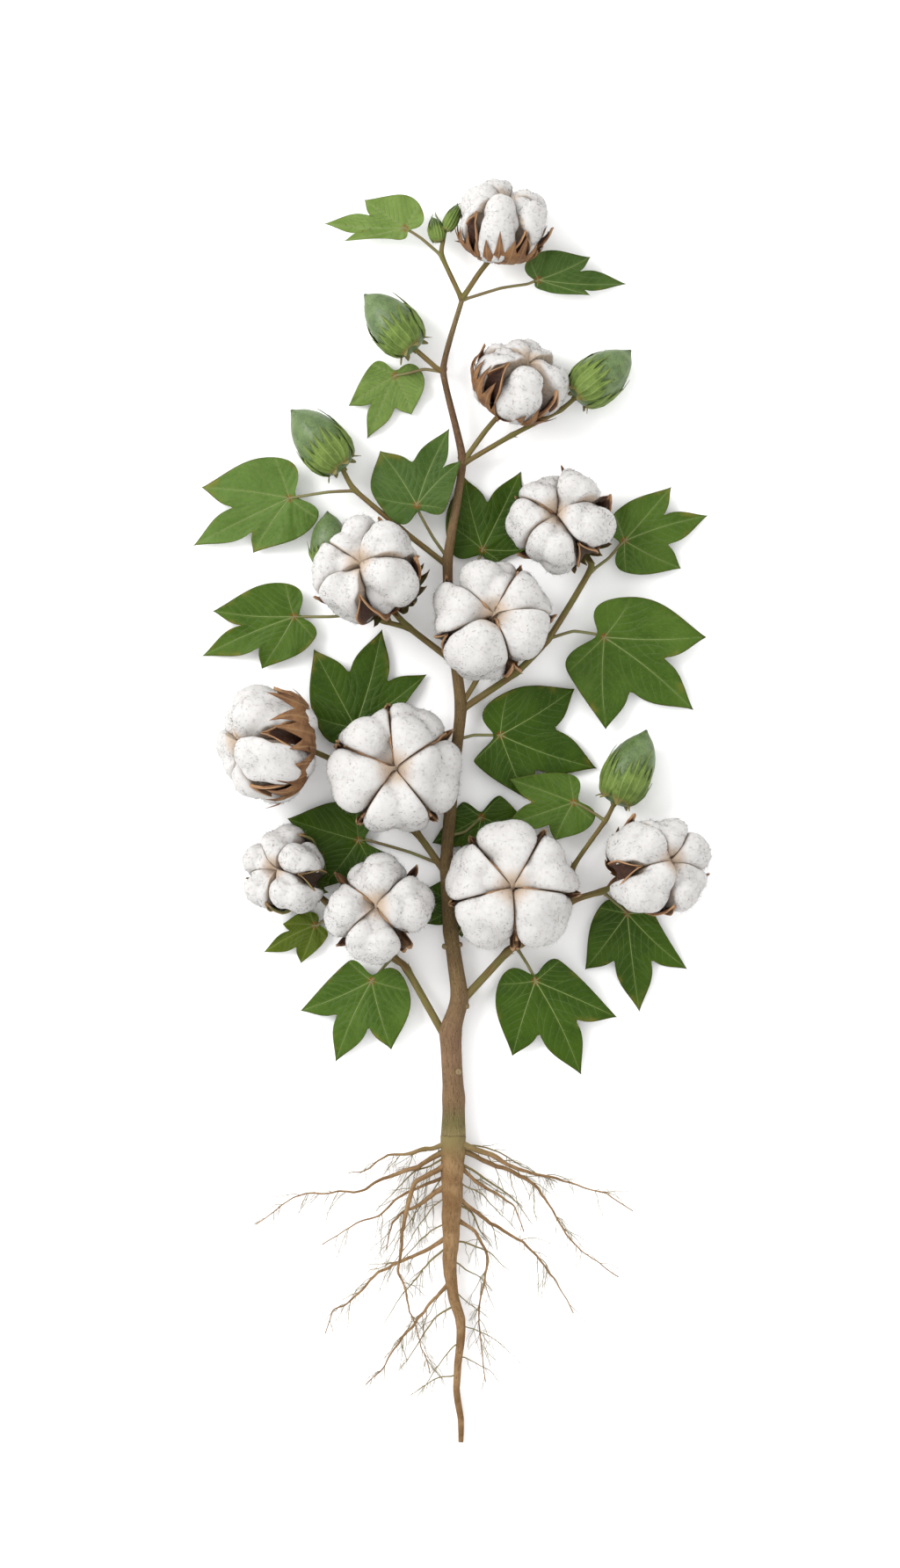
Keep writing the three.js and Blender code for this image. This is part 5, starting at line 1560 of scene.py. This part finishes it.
PAINTS = {
    "fresh": leaf_paint("leaf_fresh", (126, 153, 74), (108, 137, 58), (160, 182, 110)),
    "grey": leaf_paint("leaf_grey", (78, 107, 42), (62, 90, 28), (124, 146, 84)),
    "deep": leaf_paint("leaf_deep", (66, 95, 14), (50, 78, 8), (102, 128, 50)),
    "mid": leaf_paint("leaf_mid", (84, 114, 34), (66, 96, 22), (130, 154, 78)),
    "light": leaf_paint("leaf_light", (104, 135, 60), (84, 114, 40), (148, 170, 98)),
    "yellow": leaf_paint("leaf_yellow", (96, 114, 14), (80, 99, 8), (136, 148, 60)),
    "veinlet": plain_paint("leaf_veinlet", ((86, 114, 46), (98, 126, 56)), 300, 0.5),
    "vein": plain_paint("leaf_vein", ((126, 148, 72), (146, 166, 90)), 300, 0.5),
    "petiole": plain_paint("leaf_stalk", ((128, 108, 62), (136, 136, 76)), 60, 0.55),
    "branch": branch_paint(),
    "root": root_paint(),
    "stem": stem_paint(
        (-20, COLLAR), (0, COLLAR), (9, (126, 116, 70)), (24, (142, 112, 80)), (60, (156, 122, 92)),
        (110, (138, 112, 76)), (150, (124, 102, 64)), (300, (130, 106, 68)), (390, (142, 112, 78)),
        (430, (146, 118, 82)), (470, (124, 92, 68)), (520, (120, 92, 66)), (570, (150, 132, 94))),
    "cotton": cotton_paint(),
    "bur": bur_paint("bur_dry", (166, 116, 76), (74, 46, 32), (208, 162, 118)),
    "bur_green": bur_paint("bur_fresh", (124, 132, 66), (58, 40, 24), (186, 150, 104)),
    "boll": boll_paint(),
    "bract": bract_paint(
        "bract_green", (134, 160, 72), (98, 124, 46), (166, 186, 104), (122, 130, 58), (176, 146, 98)),
    "bract_olive": bract_paint(
        "bract_olive", (126, 122, 66), (112, 82, 46), (160, 150, 92), (134, 94, 54), (146, 104, 66)),
    "bract_dry": bract_paint(
        "bract_dry", (172, 126, 82), (128, 86, 54), (190, 150, 106), (124, 80, 50), (150, 104, 68)),
}

# ---- The plant, the floor, the light and the camera ------------------------------------------------------------

build_stem(PAINTS["stem"])
build_roots(PAINTS["root"])
build_branches(PAINTS["branch"])
for number, (leaf_key, leaf_spec) in enumerate(LEAVES.items()):
    build_leaf(leaf_key, leaf_spec, 11 + 7 * number, PAINTS)
for number, boll_key in enumerate(OPEN_BOLLS):
    build_open_boll(boll_key, 3 + number, PAINTS)
for number, boll_key in enumerate(GREEN_BOLLS):
    build_green_boll(boll_key, 2 + number, PAINTS)
build_buds(PAINTS)

FLOOR_HALF = 15
FLOOR_GAP = 0.0002  # below the CAD box, in metres
CAMERA_DISTANCE, CAMERA_LENS = 5.947, 200
VIEW_MIDDLE = (-2.4, 240.6, 20)  # where the camera looks, in the plan
SKY_STRENGTH = 1.4
KEY_PLACE, KEY_SIZE, KEY_WATTS = (-2.9, 1.6, 3.0), 2.0, 140


def floor_paint():
    p = Paint("floor_white", 0.9, Specular_IOR_Level=0.0)
    p.colour(p.mix(p.noise(p.place, 2, 2), linear((251, 251, 251), 1), linear((253, 253, 253), 1)))
    return p.material


def build_floor():
    low, half = cad_box[0].z - FLOOR_GAP, FLOOR_HALF
    mesh = bpy.data.meshes.new("floor")
    corners = [(x * half, y * half, low) for x, y in ((-1, -1), (1, -1), (1, 1), (-1, 1))]
    mesh.from_pydata(corners, [], [(0, 1, 2, 3)])
    mesh.materials.append(floor_paint())
    floor = bpy.data.objects.new("floor", mesh)
    bpy.context.scene.collection.objects.link(floor)


def softbox(name, place, size, watts):
    """A square lamp that faces the middle of the plant."""
    lamp = bpy.data.lights.new(name, "AREA")
    lamp.energy, lamp.size = watts, size
    obj = bpy.data.objects.new(name, lamp)
    obj.location = place
    aim = Vector(ORIGIN + MM * np.array(VIEW_MIDDLE)) - obj.location
    obj.rotation_euler = aim.to_track_quat("-Z", "Y").to_euler()
    bpy.context.scene.collection.objects.link(obj)


def build_studio():
    scene = bpy.context.scene
    world = bpy.data.worlds.new("studio")
    world.use_nodes = True
    world.node_tree.nodes["Background"].inputs["Color"].default_value = (1, 1, 1, 1)
    world.node_tree.nodes["Background"].inputs["Strength"].default_value = SKY_STRENGTH
    scene.world = world
    softbox("key", KEY_PLACE, KEY_SIZE, KEY_WATTS)
    camera = bpy.data.cameras.new("camera")
    camera.lens, camera.sensor_width, camera.clip_end = CAMERA_LENS, 36, 100
    obj = bpy.data.objects.new("camera", camera)
    obj.location = Vector(ORIGIN + MM * np.array(VIEW_MIDDLE)) + Vector((0, 0, CAMERA_DISTANCE))
    scene.collection.objects.link(obj)
    scene.camera = obj
    scene.view_settings.view_transform = "Standard"


build_floor()
build_studio()
